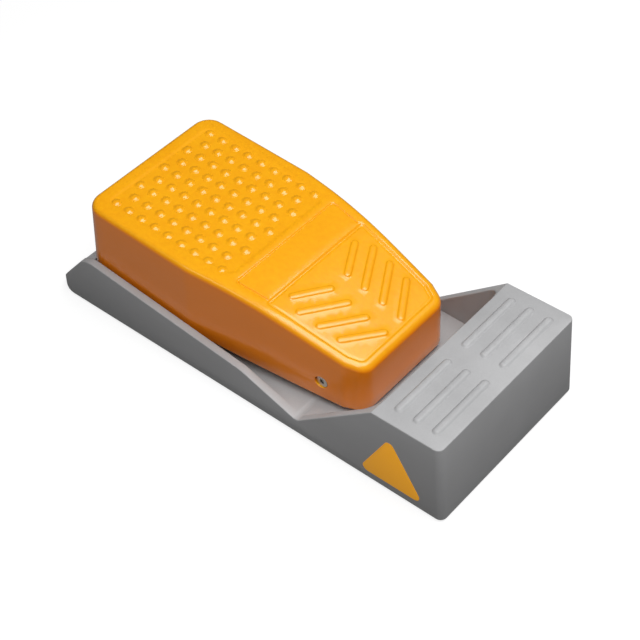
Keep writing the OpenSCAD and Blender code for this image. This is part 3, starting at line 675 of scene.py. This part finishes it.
def pedal_rings():
    """The pedal's walls as rings from the face, over the edge and down outside, and up again inside."""
    base = skirt_outline()
    normal = inward(base)
    rings = []

    def ring(into, height):
        row = []
        for (u, v), n in zip(base, normal):
            by = into(u)
            at = u + n.x * by
            row.append((at, v + n.y * by, height(at)))
        rings.append(row)

    def wall(u):
        """Height of the wall, with more of it where the toe's end leans in further than the sides."""
        extra, span = 1.7, 12
        return (top_w(u) - EDGE_R + DROP) * (1 + extra * max(0.0, min(1.0, (TOE_U + span - u) / span)))

    for k in range(9):
        a = math.pi / 2 * (1 - k / 8)
        ring(lambda u: wall(u) * DRAFT + EDGE_R * (1 - math.cos(a)), lambda u: top_w(u) - EDGE_R * (1 - math.sin(a)))
    for share in (0.75, 0.5, 0.25):
        ring(lambda u: wall(u) * DRAFT * share, lambda u: (top_w(u) - EDGE_R + DROP) * share - DROP)
    for k in range(4):
        a = math.pi / 2 * k / 3
        ring(lambda u: LIP_R * (1 - math.cos(a)), lambda u: -DROP + LIP_R * (1 - math.sin(a)))
    ring(lambda u: SKIN - LIP_R / 2, lambda u: -DROP)
    ring(lambda u: SKIN, lambda u: -DROP + LIP_R / 2)
    for into, below in ((0, 2), (0.6, 0.6), (2, 0)):
        ring(lambda u: SKIN + (wall(u) - 1) * DRAFT + into, lambda u: top_w(u) - ROOF - below)
    return rings


def pedal_cover(size):
    """The pedal's skin with its panels, chevron bars and pin holes."""
    rings = pedal_rings()
    points = [p for row in rings for p in row]
    faces = tube_faces(len(rings[0]), len(rings))

    def add(more, triangles):
        shift = len(points)
        points.extend(more)
        faces.extend(tuple(shift + i for i in f) for f in triangles)

    add(*pedal_face([(p[0], p[1]) for p in rings[0]], size))
    roof = [Vector((p[0], p[1])) for p in rings[-1]]
    edge, count = [tuple(p) for p in roof], len(roof)
    u = TOE_U
    while u < HEEL_U:
        roof += [Vector((u, v)) for v in range(-36, 37, 6) if inside(edge, u, v) and not near(edge, u, v, 2.5)]
        u += 5
    loop = [(i, (i + 1) % count) for i in range(count)]
    verts, _, triangles, _, _, _ = delaunay_2d_cdt(roof, loop, [], 1, 1e-4)
    add([(p.x, p.y, top_w(p.x) - ROOF) for p in verts], triangles)
    cover = pedal_piece("cover", points, faces)
    hole_y, through = 46.3, 30
    return cut(cover, [solid(cylinder(1, (PIVOT.x, side * hole_y, PIVOT.z), PIN_HOLE_R, through)) for side in (-1, 1)])


def pedal_insides():
    """Ribs, pegs, bosses and the actuator's post under the pedal's roof."""
    pieces, post_u, post_r, post_low, peg_r, peg_len = [], -52, 6.0, 16.0, 4.0, 6.5
    low, roof = RISE - ROOF - RIB_DEPTH, RISE - ROOF + 0.5

    def bar(u0, u1, half):
        corners = [(u, v, w) for u in (u0, u1) for v in (-half, half) for w in (low, top_w(u) - ROOF + 0.8)]
        faces = [(0, 1, 3, 2), (4, 6, 7, 5), (0, 4, 5, 1), (2, 3, 7, 6), (0, 2, 6, 4), (1, 5, 7, 3)]
        pieces.append(pedal_piece("rib", corners, faces))

    for reach in (120.0, 101.0, 67.0, 38.0):
        half = skirt_v(-reach) - SKIN - (top_w(-reach) - ROOF + DROP) * DRAFT
        bar(-reach - RIB_HALF, -reach + RIB_HALF, half)
    bar(TOE_U + SKIN, post_u, RIB_HALF)
    peg_u = -SPRING_REACH - (RISE - ROOF) * math.sin(REST_PITCH)
    for side in (-1, 1):
        pieces.append(upright(peg_u, side * SPRING_Y, peg_r, roof - peg_len, roof))
        middle = (PIVOT.x, side * BOSS_Y, PIVOT.z)
        pieces.append(cut(solid(cylinder(1, middle, BOSS_R, BOSS_LEN)), [solid(cylinder(1, middle, PIN_BORE_R, 20))]))
    pieces.append(upright(post_u, 0, post_r, post_low, roof))
    return pieces


def pedal_piece(name, points, faces):
    """A piece from points in the pedal's frame."""
    return new_piece(name, [tuple(from_pedal(*p)) for p in points], faces, "amber")


def upright(u, v, r, w0, w1):
    """A round post square to the studs."""
    return pedal_piece("post", *extrude_z(arc((u, v), r, 32), w0, w1))


def dome(size):
    """One stud with a soft foot, its middle at the origin, on the pedal's face."""
    r, h, sides = size.stud_radius, size.stud_height, 20
    shares = ((1.3, 0), (1.08, 0.07), (0.93, 0.24), (0.8, 0.5), (0.6, 0.76), (0.37, 0.93), (0.15, 0.99))
    profile = [(r * 1.4, -0.2)] + [(r * x, h * y) for x, y in shares]
    points = [(x, y, z) for q, z in profile for x, y in arc((0.0, 0.0), q, sides)]
    faces = tube_faces(sides, len(profile))
    last, top = len(points) - sides, len(points)
    points += [(0, 0, h), (0, 0, -0.25)]
    faces += [(last + k, last + (k + 1) % sides, top) for k in range(sides)]
    faces += [((k + 1) % sides, k, top + 1) for k in range(sides)]
    return new_piece("stud", points, faces, "amber", 180)


def group_tree(name, inputs):
    """A Geometry Nodes tree with named inputs, and its two end nodes."""
    tree = bpy.data.node_groups.new(name, "GeometryNodeTree")
    for label, kind in inputs:
        tree.interface.new_socket(label, in_out="INPUT", socket_type=kind)
    tree.interface.new_socket("Geometry", in_out="OUTPUT", socket_type="NodeSocketGeometry")
    return tree, add_node(tree, "NodeGroupInput"), add_node(tree, "NodeGroupOutput")


def run_tree(tree, values, name, slot, smooth):
    """Runs a tree with its inputs set by name and keeps the plain mesh."""
    holder = placed("holder", bpy.data.meshes.new("holder"))
    modifier = holder.modifiers.new("nodes", "NODES")
    modifier.node_group = tree
    for item in tree.interface.items_tree:
        if item.in_out == "INPUT" and item.name in values:
            modifier[item.identifier] = values[item.name]
    return baked(holder, name, slot, smooth)


def end_tree(tree, enter, leave, points, piece):
    """Ends a tree: an instance of a piece on each point, made real, with its finish."""
    info = add_node(tree, "GeometryNodeObjectInfo", {}, Object=enter.outputs[piece])
    spread = add_node(tree, "GeometryNodeInstanceOnPoints", {}, Points=points, Instance=info.outputs["Geometry"])
    real = add_node(tree, "GeometryNodeRealizeInstances", {}, spread.outputs[0])
    paint = add_node(tree, "GeometryNodeSetMaterial", {}, Geometry=real.outputs[0], Material=enter.outputs["Finish"])
    tree.links.new(paint.outputs[0], leave.inputs[0])
    return tree


def maths(tree, operation, a, b):
    """The output of a Math node on two values."""
    return add_node(tree, "ShaderNodeMath", {"operation": operation}, a, b).outputs[0]


def grid_of(tree, rows, across, pitch, gap):
    """Points in rows, their spread worked out from how many there are and how far apart they stand."""
    run, wide = (maths(tree, "MULTIPLY", maths(tree, "SUBTRACT", n, 1.0), apart)
                 for n, apart in ((rows, pitch), (across, gap)))
    return add_node(tree, "GeometryNodeMeshGrid", {}, run, wide, rows, across).outputs["Mesh"]


def stud_tree():
    """Two grids of points, one between the other's, with a stud on each."""
    tree, enter, leave = group_tree("stud_field", [
        ("Stud", "NodeSocketObject"), ("Pitch", "NodeSocketFloat"), ("Row Gap", "NodeSocketFloat"),
        ("Rows", "NodeSocketInt"), ("Across", "NodeSocketInt"), ("Finish", "NodeSocketMaterial")])
    joined = add_node(tree, "GeometryNodeJoinGeometry")
    gap = maths(tree, "MULTIPLY", enter.outputs["Row Gap"], 2.0)
    for fewer in (0, 1):
        rows, across = (maths(tree, "SUBTRACT", enter.outputs[key], fewer) for key in ("Rows", "Across"))
        tree.links.new(grid_of(tree, rows, across, enter.outputs["Pitch"], gap), joined.inputs[0])
    return end_tree(tree, enter, leave, joined.outputs[0], "Stud")


def stud_field(size):
    """All studs, in their place on the pedal."""
    rows, across, toe_margin = 9, 5, 14.3
    middle = TOE_U + toe_margin + (rows - 1) * size.stud_pitch / 2
    stud = dome(size)
    field = run_tree(stud_tree(), {
        "Stud": stud, "Pitch": size.stud_pitch * MM, "Row Gap": size.stud_gap * MM, "Rows": rows, "Across": across,
        "Finish": FINISHES["amber"]}, "studs", "amber", 180)
    bpy.data.objects.remove(stud, do_unlink=True)
    turn = Matrix.Rotation(REST_PITCH, 4, "Y")
    place = from_pedal(middle, 0, RISE - size.stud_depth) * MM
    field.data.transform(Matrix.Translation(place) @ turn)
    return field


# Base casting


def toe_inner_x(z):
    """Place of the toe wall's inner face at a height."""
    return -HALF_LEN + (z - 1) * math.tan(TOE_LEAN) + WALL / math.cos(TOE_LEAN)


def base_outline():
    """The casting's outline from the side, with the dip of its walls beside the pedal."""
    rim_top = -HALF_LEN + 30 * math.tan(TOE_LEAN)
    corners = [(-HALF_LEN - 0.5, -0.2), (rim_top + 0.5, 31), (7.9, 19.5), (40, 8), (BLOCK_X, BLOCK_H),
               (HALF_LEN + 4, BLOCK_H), (HALF_LEN + 4, -0.2)]
    return rounded(corners, [1.5, 11.5, 24, 4, 0, 0, 0], 8)


def wall_y(z):
    """Half width of the casting at a height: its walls lean in a little."""
    return HALF_W + WALL_DRAFT * (1 - z / BLOCK_H)


def lofted(low, high, z0, z1):
    """Points and faces between two outlines with as many points each."""
    n = len(low)
    points, faces = extrude_z(low, z0, z1)
    return points[:n] + [(x, y, z1) for x, y in high], faces


def lifted(points_faces):
    """The same, raised by the height of the feet."""
    points, faces = points_faces
    return [(x, y, z + FOOT) for x, y, z in points], faces


def bevelled(obj, name, width, slot):
    """Rounds an object's edges."""
    step = obj.modifiers.new("edge", "BEVEL")
    step.width = width * MM
    step.segments = 3
    step.limit_method = "ANGLE"
    step.angle_limit = math.radians(35)
    step.use_clamp_overlap = False
    step.miter_outer = "MITER_ARC"
    return baked(obj, name, slot, 40)


def box_plan(x0, x1, y, radii, steps):
    """A rectangle seen from above, as wide on both sides, with its corners rounded."""
    return rounded([(x0, -y), (x0, y), (x1, y), (x1, -y)], radii, steps)


def rod(axis, centre, r, length):
    """A round tool or post, its heights over the casting's underside."""
    return solid(lifted(cylinder(axis, centre, r, length)))


def base_body():
    """The tray and heel block, cut from one block."""
    body = solid(lifted(extrude_y(base_outline(), -HALF_W - 2, HALF_W + 2)))
    plans, low, high, heel_r = [], -1, 60, 3.2
    for z, toe_r in ((low, 14), (high, 23)):
        x = HALF_LEN + HEEL_DRAFT * (1 - z / BLOCK_H)
        plans.append(box_plan(-HALF_LEN - 1, x, wall_y(z), [toe_r, toe_r, heel_r, heel_r], 10))
    cut(body, [solid(lifted(lofted(*plans, low, high)))], "INTERSECT")
    half, sill, over, past = HALF_W - WALL, 17, 50, -HALF_LEN - 3
    profile = [(toe_inner_x(FLOOR_H), FLOOR_H), (toe_inner_x(sill), sill), (past, sill), (past, over),
               (BLOCK_X, over), (BLOCK_X, FLOOR_H)]
    room = solid(lifted(extrude_y(profile, -half, half)))
    plan = box_plan(-HALF_LEN - 2, BLOCK_X, half, [0, 0, 8, 8], 10)
    cut(room, [solid(lifted(extrude_z(plan, 5, 55)))], "INTERSECT")
    cut(body, [room])
    x0, x1, y = BLOCK_X + BLOCK_WALL, HALF_LEN - BLOCK_WALL, HALF_W - BLOCK_WALL
    room_top, seat, seat_top = 40, 1.8, 4
    for wider, top in ((0, room_top), (seat, seat_top)):
        plan = box_plan(x0 - wider, x1 + wider, y + wider, [2.5] * 4, 6)
        cut(body, [solid(lifted(extrude_z(plan, -2, top)))])
    return body


def under_recess():
    """Pockets under the tray, between its ribs, clear of the feet."""
    x0, x1 = toe_inner_x(FLOOR_H - FLOOR_T), BLOCK_X - BLOCK_WALL
    count, rib, half = 5, 1.5, HALF_W - WALL
    step = (x1 - x0) / count
    pockets = []
    for i in range(count):
        for side in (-1, 1):
            a, b = x0 + step * i + (rib if i else 0), x0 + step * (i + 1) - (rib if i < count - 1 else 0)
            lo, hi = sorted((side * rib, side * half))
            outline = rounded([(a, lo), (a, hi), (b, hi), (b, lo)], [rib] * 4, 5)
            pockets.append(solid(lifted(extrude_z(outline, -1, FLOOR_H - FLOOR_T))))
    for pocket, side in zip(pockets, (-1, 1)):
        cut(pocket, [rod(2, (RUBBER_X, side * RUBBER_Y, 2), 11, 20)])
    return pockets


def lug(side):
    """One of the two lugs that hold the pin's bushes."""
    x, z, inner, outer, foot = PIVOT.x, PIVOT.z - FOOT, 14, 22, 11.2
    ring = arc((x, z), LUG_R, 24, 0.0, math.pi, 1) + [(x - foot, FLOOR_H - 1), (x + foot, FLOOR_H - 1)]
    y0, y1 = sorted((side * inner, side * outer))
    piece = solid(lifted(extrude_y(ring, y0, y1)))
    return cut(piece, [solid(cylinder(1, (PIVOT.x, (y0 + y1) / 2, PIVOT.z), BUSH_R, 20))])


def base_casting(size):
    """The casting with its lugs, pegs, posts, pockets and holes."""
    body = base_body()
    cut(body, under_recess())
    holes = [rod(1, ((BLOCK_X + HALF_LEN) / 2, HALF_W - BLOCK_WALL / 2, INLET_Z), INLET_R, 8),
             rod(0, (BLOCK_X + BLOCK_WALL / 2, 0, LEAD_Z), LEAD_R, 8)]
    holes += [rod(2, (RUBBER_X, side * RUBBER_Y, 0), 8, 3) for side in (-1, 1)]
    cut(body, holes)
    pieces = [bevelled(body, "casting", size.edge_radius, "cast_grey"), lug(-1), lug(1)]
    for side in (-1, 1):
        peg = rod(2, (PIVOT.x - SPRING_REACH, side * SPRING_Y, 11), 6, 6)
        pieces.append(bevelled(peg, "peg", 0.6, "cast_grey"))
        y = side * (HALF_W - BLOCK_WALL - POST_IN)
        for x in (BLOCK_X + BLOCK_WALL + POST_IN, HALF_LEN - BLOCK_WALL - POST_IN):
            pieces.append(cut(rod(2, (x, y, 7), POST_R, 6), [rod(2, (x, y, 4), SCREW_R, 10)]))
    return join("tray_casting", pieces, "cast_grey", 40)


def rounded_bar(length, width, height, name):
    """A bar along Y with round ends and a rounded back, its foot's middle at the origin."""
    half = width / 2
    rings = [(half + 0.45, -0.3), (half + 0.35, 0.0), (half + 0.05, height * 0.1), (half - 0.2, height * 0.42),
             (half - 0.5, height * 0.74), (half - 1.0, height * 0.95), (half * 0.2, height)]
    points = []
    for r, z in rings:
        for end, start in ((length / 2 - half, 0.0), (half - length / 2, math.pi)):
            points += [(x, y, z) for x, y in arc((0.0, end), r, 12, start, math.pi, 1)]
    return new_piece(name, points, closed_tube(26, len(rings)), "cast_grey", 180)


def rib_tree():
    """A row of ribs along X and its twin across, one instance on each point of a grid."""
    tree, enter, leave = group_tree("rib_rows", [
        ("Rib", "NodeSocketObject"), ("Pitch", "NodeSocketFloat"), ("Apart", "NodeSocketFloat"),
        ("Count", "NodeSocketInt"), ("Finish", "NodeSocketMaterial")])
    grid = grid_of(tree, enter.outputs["Count"], 2, enter.outputs["Pitch"], enter.outputs["Apart"])
    return end_tree(tree, enter, leave, grid, "Rib")


def block_ribs(size):
    """The ribs on the heel block's top."""
    pitch, half_gap = 9.8, 4.8
    rib = rounded_bar(size.rib_length, size.rib_width, size.rib_height, "rib")
    ribs = run_tree(rib_tree(), {
        "Rib": rib, "Pitch": pitch * MM, "Apart": 2 * (half_gap + size.rib_length / 2) * MM, "Count": 3,
        "Finish": FINISHES["cast_grey"]}, "block_ribs", "cast_grey", 180)
    bpy.data.objects.remove(rib, do_unlink=True)
    ribs.data.transform(Matrix.Translation(Vector(((BLOCK_X + HALF_LEN) / 2, 0, BLOCK_H + FOOT)) * MM))
    return ribs


def coil(x, y, z0, z1, size):
    """One compression spring: an unbroken wire with a closed turn at each end."""
    wire, around, sides, lead = size.spring_wire / 2, 28, 10, 2.1 * size.spring_wire / 2
    radius, turns_in_all = size.spring_width / 2 - wire, size.spring_turns
    steps = int(turns_in_all * around)
    points = []
    for i in range(steps + 1):
        turns = i / around
        a = 2 * math.pi * turns
        share = max(0.0, min(1.0, (turns - 1) / (turns_in_all - 2)))
        lift = (min(turns, 1.0) + max(0.0, turns - turns_in_all + 1)) * lead
        z = z0 + wire + lift + share * (z1 - z0 - 2 * wire - 2 * lead)
        points += [(x + r * math.cos(a), y + r * math.sin(a), z + up) for r, up in arc((radius, 0.0), wire, sides)]
    return new_piece("coil", points, closed_tube(sides, steps + 1), "spring_steel", 180)


def spring_pair(size):
    """The two return springs between the tray's floor and the pedal's roof."""
    x, floor, clear = PIVOT.x - SPRING_REACH, FLOOR_H + FOOT, 0.35
    top = from_pedal(-SPRING_REACH + size.spring_width / 2, 0, RISE - ROOF).z - clear
    coils = [coil(x, side * SPRING_Y, floor, top, size) for side in (-1, 1)]
    return join("spring_coils", coils, "spring_steel", 180), floor


def heel_pads():
    """The rubber pads under the heel skirt, with soft edges."""
    pads, bottom, top = [], FLOOR_H + FOOT - 0.05, 12.5
    x0, x1, half = 58.7, 62.0, 8
    for middle in (-14, 14):
        y0, y1 = middle - half, middle + half
        outline = rounded([(x0, y0), (x0, y1), (x1, y1), (x1, y0)], [1.0] * 4, 5)
        pads.append(bevelled(solid(extrude_z(outline, bottom, top)), "pad", 0.4, "black_rubber"))
    return join("heel_pads", pads, "black_rubber")


def blank_mark(size):
    """The blank rounded triangle on the casting's near side."""
    s, middle_x, middle_z, in_circle, corner_r = size.mark_side, 93.6, 14.2, 0.2887, 2.6
    x0, z0 = middle_x - s / 2, middle_z - s * in_circle
    corners = [(x0, z0), (x0 + s, z0), (x0 + s / 2, z0 + s * math.sqrt(3) / 2)]
    outline = rounded(corners, [corner_r] * 3, 8)
    points, faces = lifted(extrude_y(outline, -0.16, 0.05))
    mark = new_piece("mark", [(x, y - wall_y(z - FOOT), z) for x, y, z in points], faces, "mark")
    return bevelled(mark, "blank_mark", 0.06, "mark")


# Settings


class PedalSizes(bpy.types.PropertyGroup):
    """Sizes of the pedal's face, in millimetres."""

    stud_radius: bpy.props.FloatProperty(name="Stud radius", description="Radius of a stud", default=2.1, min=0.5)
    stud_height: bpy.props.FloatProperty(name="Stud height", description="Height of a stud", default=0.85, min=0.1)
    stud_pitch: bpy.props.FloatProperty(name="Stud pitch", description="Distance between full rows", default=8.31)
    stud_gap: bpy.props.FloatProperty(name="Stud gap", description="Distance across to the next row", default=7.86)
    stud_depth: bpy.props.FloatProperty(name="Stud panel depth", description="How far it is sunk", default=0.35)
    band_depth: bpy.props.FloatProperty(name="Band groove", description="Depth of the groove round it", default=0.6)
    chevron_depth: bpy.props.FloatProperty(name="Chevron groove", description="Depth of its groove", default=0.85)
    rim_width: bpy.props.FloatProperty(name="Rim", description="Rim between edge and chevron panel", default=0.3)
    chevron_floor: bpy.props.FloatProperty(name="Chevron panel depth", description="How far it is sunk", default=0.5)
    chevron_width: bpy.props.FloatProperty(name="Chevron width", description="Width of a chevron bar", default=3.4)
    chevron_height: bpy.props.FloatProperty(name="Chevron height", description="Height of a chevron bar", default=0.75)


class CastingSizes(bpy.types.PropertyGroup):
    """Sizes of the casting's finish, the springs and the mark, in millimetres."""

    edge_radius: bpy.props.FloatProperty(name="Edge radius", description="Rounding of the edges", default=0.5, min=0.1)
    rib_width: bpy.props.FloatProperty(name="Rib width", description="Width of a rib on the block", default=3.6)
    rib_length: bpy.props.FloatProperty(name="Rib length", description="Length of a rib on the block", default=36.0)
    rib_height: bpy.props.FloatProperty(name="Rib height", description="Height of a rib on the block", default=0.95)
    spring_wire: bpy.props.FloatProperty(name="Spring wire", description="Diameter of the springs' wire", default=2.2)
    spring_width: bpy.props.FloatProperty(name="Spring width", description="Outer diameter of a spring", default=18.0)
    spring_turns: bpy.props.FloatProperty(name="Spring turns", description="Turns of a spring", default=8.5)
    mark_side: bpy.props.FloatProperty(name="Mark side", description="Side of the blank triangle", default=34.4)


class Hues(bpy.types.PropertyGroup):
    """Colours of the paints."""

    pedal: bpy.props.FloatVectorProperty(name="Pedal", description="Paint of the pedal", subtype="COLOR",
                                         size=3, min=0, max=1, default=linear(242, 167, 8))
    # The walls' colour is painted shade: a deeper copy of the pedal's paint for its upright walls.
    pedal_wall_shade: bpy.props.FloatVectorProperty(name="Pedal's walls", description="Paint on the upright walls",
                                              subtype="COLOR", size=3, min=0, max=1, default=linear(255, 139, 4))
    casting: bpy.props.FloatVectorProperty(name="Casting", description="Paint of the casting", subtype="COLOR",
                                           size=3, min=0, max=1, default=linear(170, 170, 171))
    mark: bpy.props.FloatVectorProperty(name="Mark", description="Blank mark on the casting's side", subtype="COLOR",
                                        size=3, min=0, max=1, default=linear(255, 175, 22))


class Stage(bpy.types.PropertyGroup):
    """Light and camera."""

    lens: bpy.props.FloatProperty(name="Lens", description="Focal length", default=85.01, unit="CAMERA")
    key: bpy.props.FloatProperty(name="Key light", description="Power of the overhead light", default=14.6,
                                 unit="POWER")
    edge: bpy.props.FloatProperty(name="Edge light", description="Power of the strip light", default=1.45, unit="POWER")
    fill: bpy.props.FloatProperty(name="Fill", description="Level of the light from all round", default=0.05)


# Operators


class FOOTSWITCH_OT_stage(bpy.types.Operator):
    """Add the camera, the lights and the floor"""

    bl_idname = "footswitch.stage"
    bl_label = "Stage"

    def execute(self, context):
        make_stage(context.scene, context.scene.foot_stage)
        return {"FINISHED"}


class FOOTSWITCH_OT_finishes(bpy.types.Operator):
    """Make the finishes and give them to the plain solids"""

    bl_idname = "footswitch.finishes"
    bl_label = "Finishes"

    def execute(self, context):
        make_finishes(context.scene.foot_hues)
        slots = {s["node"]: s["material_slot"] for s in frame["record"]["subparts"]}
        for name, obj in frame["nodes"].items():
            for k in range(len(obj.material_slots)):
                obj.material_slots[k].material = FINISHES[slots[name]]
        return {"FINISHED"}


class FOOTSWITCH_OT_pedal(bpy.types.Operator):
    """Make the pedal's cover with its panels, bars and studs"""

    bl_idname = "footswitch.pedal"
    bl_label = "Pedal"

    def execute(self, context):
        size = context.scene.foot_pedal
        pieces = [pedal_cover(size)] + pedal_insides()
        cover = join("pedal_cover", pieces, "amber", 32)
        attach(cover, "pedal")
        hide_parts("pedal_shell")
        studs = stud_field(size)
        studs.name = "pedal_studs"
        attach(studs, "pedal")
        return {"FINISHED"}


class FOOTSWITCH_OT_casting(bpy.types.Operator):
    """Make the base casting with its rounded edges"""

    bl_idname = "footswitch.casting"
    bl_label = "Base casting"

    def execute(self, context):
        size = context.scene.foot_casting
        casting = base_casting(size)
        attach(casting, "base")
        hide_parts("base_casting")
        ribs = block_ribs(size)
        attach(ribs, "base")
        pads = heel_pads()
        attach(pads, "base")
        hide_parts("rest_pads")
        springs, floor = spring_pair(size)
        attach(springs, "base")
        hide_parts("return_springs")
        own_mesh(springs)
        mark = blank_mark(size)
        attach(mark, "base")
        return {"FINISHED"}


def make_stage(scene, stage):
    """Camera at the photograph's place, an overhead softbox, a weak side light and a pale floor."""
    camera = bpy.data.cameras.new("camera")
    camera.lens = stage.lens
    camera.sensor_width = 36
    camera.clip_start, camera.clip_end = 0.01, 20
    eye = placed("camera", camera)
    azimuth, height, roll = (math.radians(v) for v in (44.73, 45.409, -5.528))
    place = (0.35806, -0.34788, 0.51428)
    right = Vector((math.cos(azimuth), math.sin(azimuth), 0))
    back = Vector((right.y * math.cos(height), -right.x * math.cos(height), math.sin(height)))
    up = back.cross(right)
    across = right * math.cos(roll) + up * math.sin(roll)
    upward = up * math.cos(roll) - right * math.sin(roll)
    eye.matrix_world = Matrix.Translation(place) @ Matrix((across, upward, back)).transposed().to_4x4()
    scene.camera = eye

    def softbox(name, place, aim, width, height, power):
        light = bpy.data.lights.new(name, "AREA")
        light.shape = "RECTANGLE"
        light.size, light.size_y = width, height
        light.energy = power
        lamp = placed(name, light)
        direction = Vector(aim) - Vector(place)
        lamp.matrix_world = Matrix.Translation(place) @ direction.to_track_quat("-Z", "Y").to_matrix().to_4x4()

    softbox("overhead", (0.35, -0.01, 1.0), (0.02, -0.01, 0), 1.18, 0.78, stage.key)
    softbox("edge light", (0.0, -0.72, 0.83), (0.02, 0, 0), 1.1, 0.24, stage.edge)
    world = bpy.data.worlds.new("studio")
    scene.world = world
    world.use_nodes = True
    tree = world.node_tree
    tree.nodes.clear()
    rays = add_node(tree, "ShaderNodeLightPath").outputs
    dim = add_node(tree, "ShaderNodeBackground", {}, (1, 1, 1, 1), stage.fill)
    white = add_node(tree, "ShaderNodeBackground", {}, (1, 1, 1, 1), 1.0)
    seen = maths(tree, "MAXIMUM", rays["Is Camera Ray"], rays["Is Transmission Ray"])
    mix = add_node(tree, "ShaderNodeMixShader", {}, seen, dim.outputs[0], white.outputs[0])
    add_node(tree, "ShaderNodeOutputWorld", {}, mix.outputs[0])

    floor = bpy.data.meshes.new("floor")
    reach = 0.7
    corners = [(x * reach, y * reach, 0) for x, y in ((-1, -1), (1, -1), (1, 1), (-1, 1))]
    floor.from_pydata(corners, [], [(0, 1, 2, 3)])
    ground = placed("floor", floor)
    f = Finish("pale_floor")
    shade = f.node("ShaderNodeBsdfDiffuse", {}, (0.25, 0.25, 0.25, 1))
    glow = f.node("ShaderNodeEmission", {}, (1, 1, 1, 1), 0.8)
    both = f.node("ShaderNodeAddShader", {}, shade.outputs[0], glow.outputs[0])
    seen = f.node("ShaderNodeLightPath").outputs["Is Camera Ray"]
    mixed = f.node("ShaderNodeMixShader", {}, seen, shade.outputs[0], both.outputs[0])
    f.tree.links.new(mixed.outputs[0], f.out.inputs[0])
    floor.materials.append(f.material)
    scene.view_settings.view_transform = "Standard"


class FOOTSWITCH_PT_panel(bpy.types.Panel):
    """Lists the pieces of the foot switch"""

    bl_idname = "FOOTSWITCH_PT_panel"
    bl_label = "Foot Switch"
    bl_space_type = "VIEW_3D"
    bl_region_type = "UI"
    bl_category = "Foot Switch"

    def draw(self, context):
        for step in STEPS:
            self.layout.operator(step.bl_idname)
        for name, group in GROUPS.items():
            box = self.layout.box()
            for key in group.__annotations__:
                box.prop(getattr(context.scene, name), key)


GROUPS = {"foot_pedal": PedalSizes, "foot_casting": CastingSizes, "foot_hues": Hues, "foot_stage": Stage}
STEPS = (FOOTSWITCH_OT_finishes, FOOTSWITCH_OT_stage, FOOTSWITCH_OT_casting, FOOTSWITCH_OT_pedal)


def register():
    for cls in (*GROUPS.values(), *STEPS, FOOTSWITCH_PT_panel):
        bpy.utils.register_class(cls)
    for key, group in GROUPS.items():
        setattr(bpy.types.Scene, key, bpy.props.PointerProperty(type=group))


def unregister():
    for key in GROUPS:
        delattr(bpy.types.Scene, key)
    for cls in (FOOTSWITCH_PT_panel, *reversed(STEPS), *GROUPS.values()):
        bpy.utils.unregister_class(cls)


def main():
    register()
    bpy.ops.footswitch.finishes()
    bpy.ops.footswitch.stage()
    bpy.ops.footswitch.casting()
    bpy.ops.footswitch.pedal()
    bpy.context.view_layer.update()


if __name__ == "__main__":
    main()
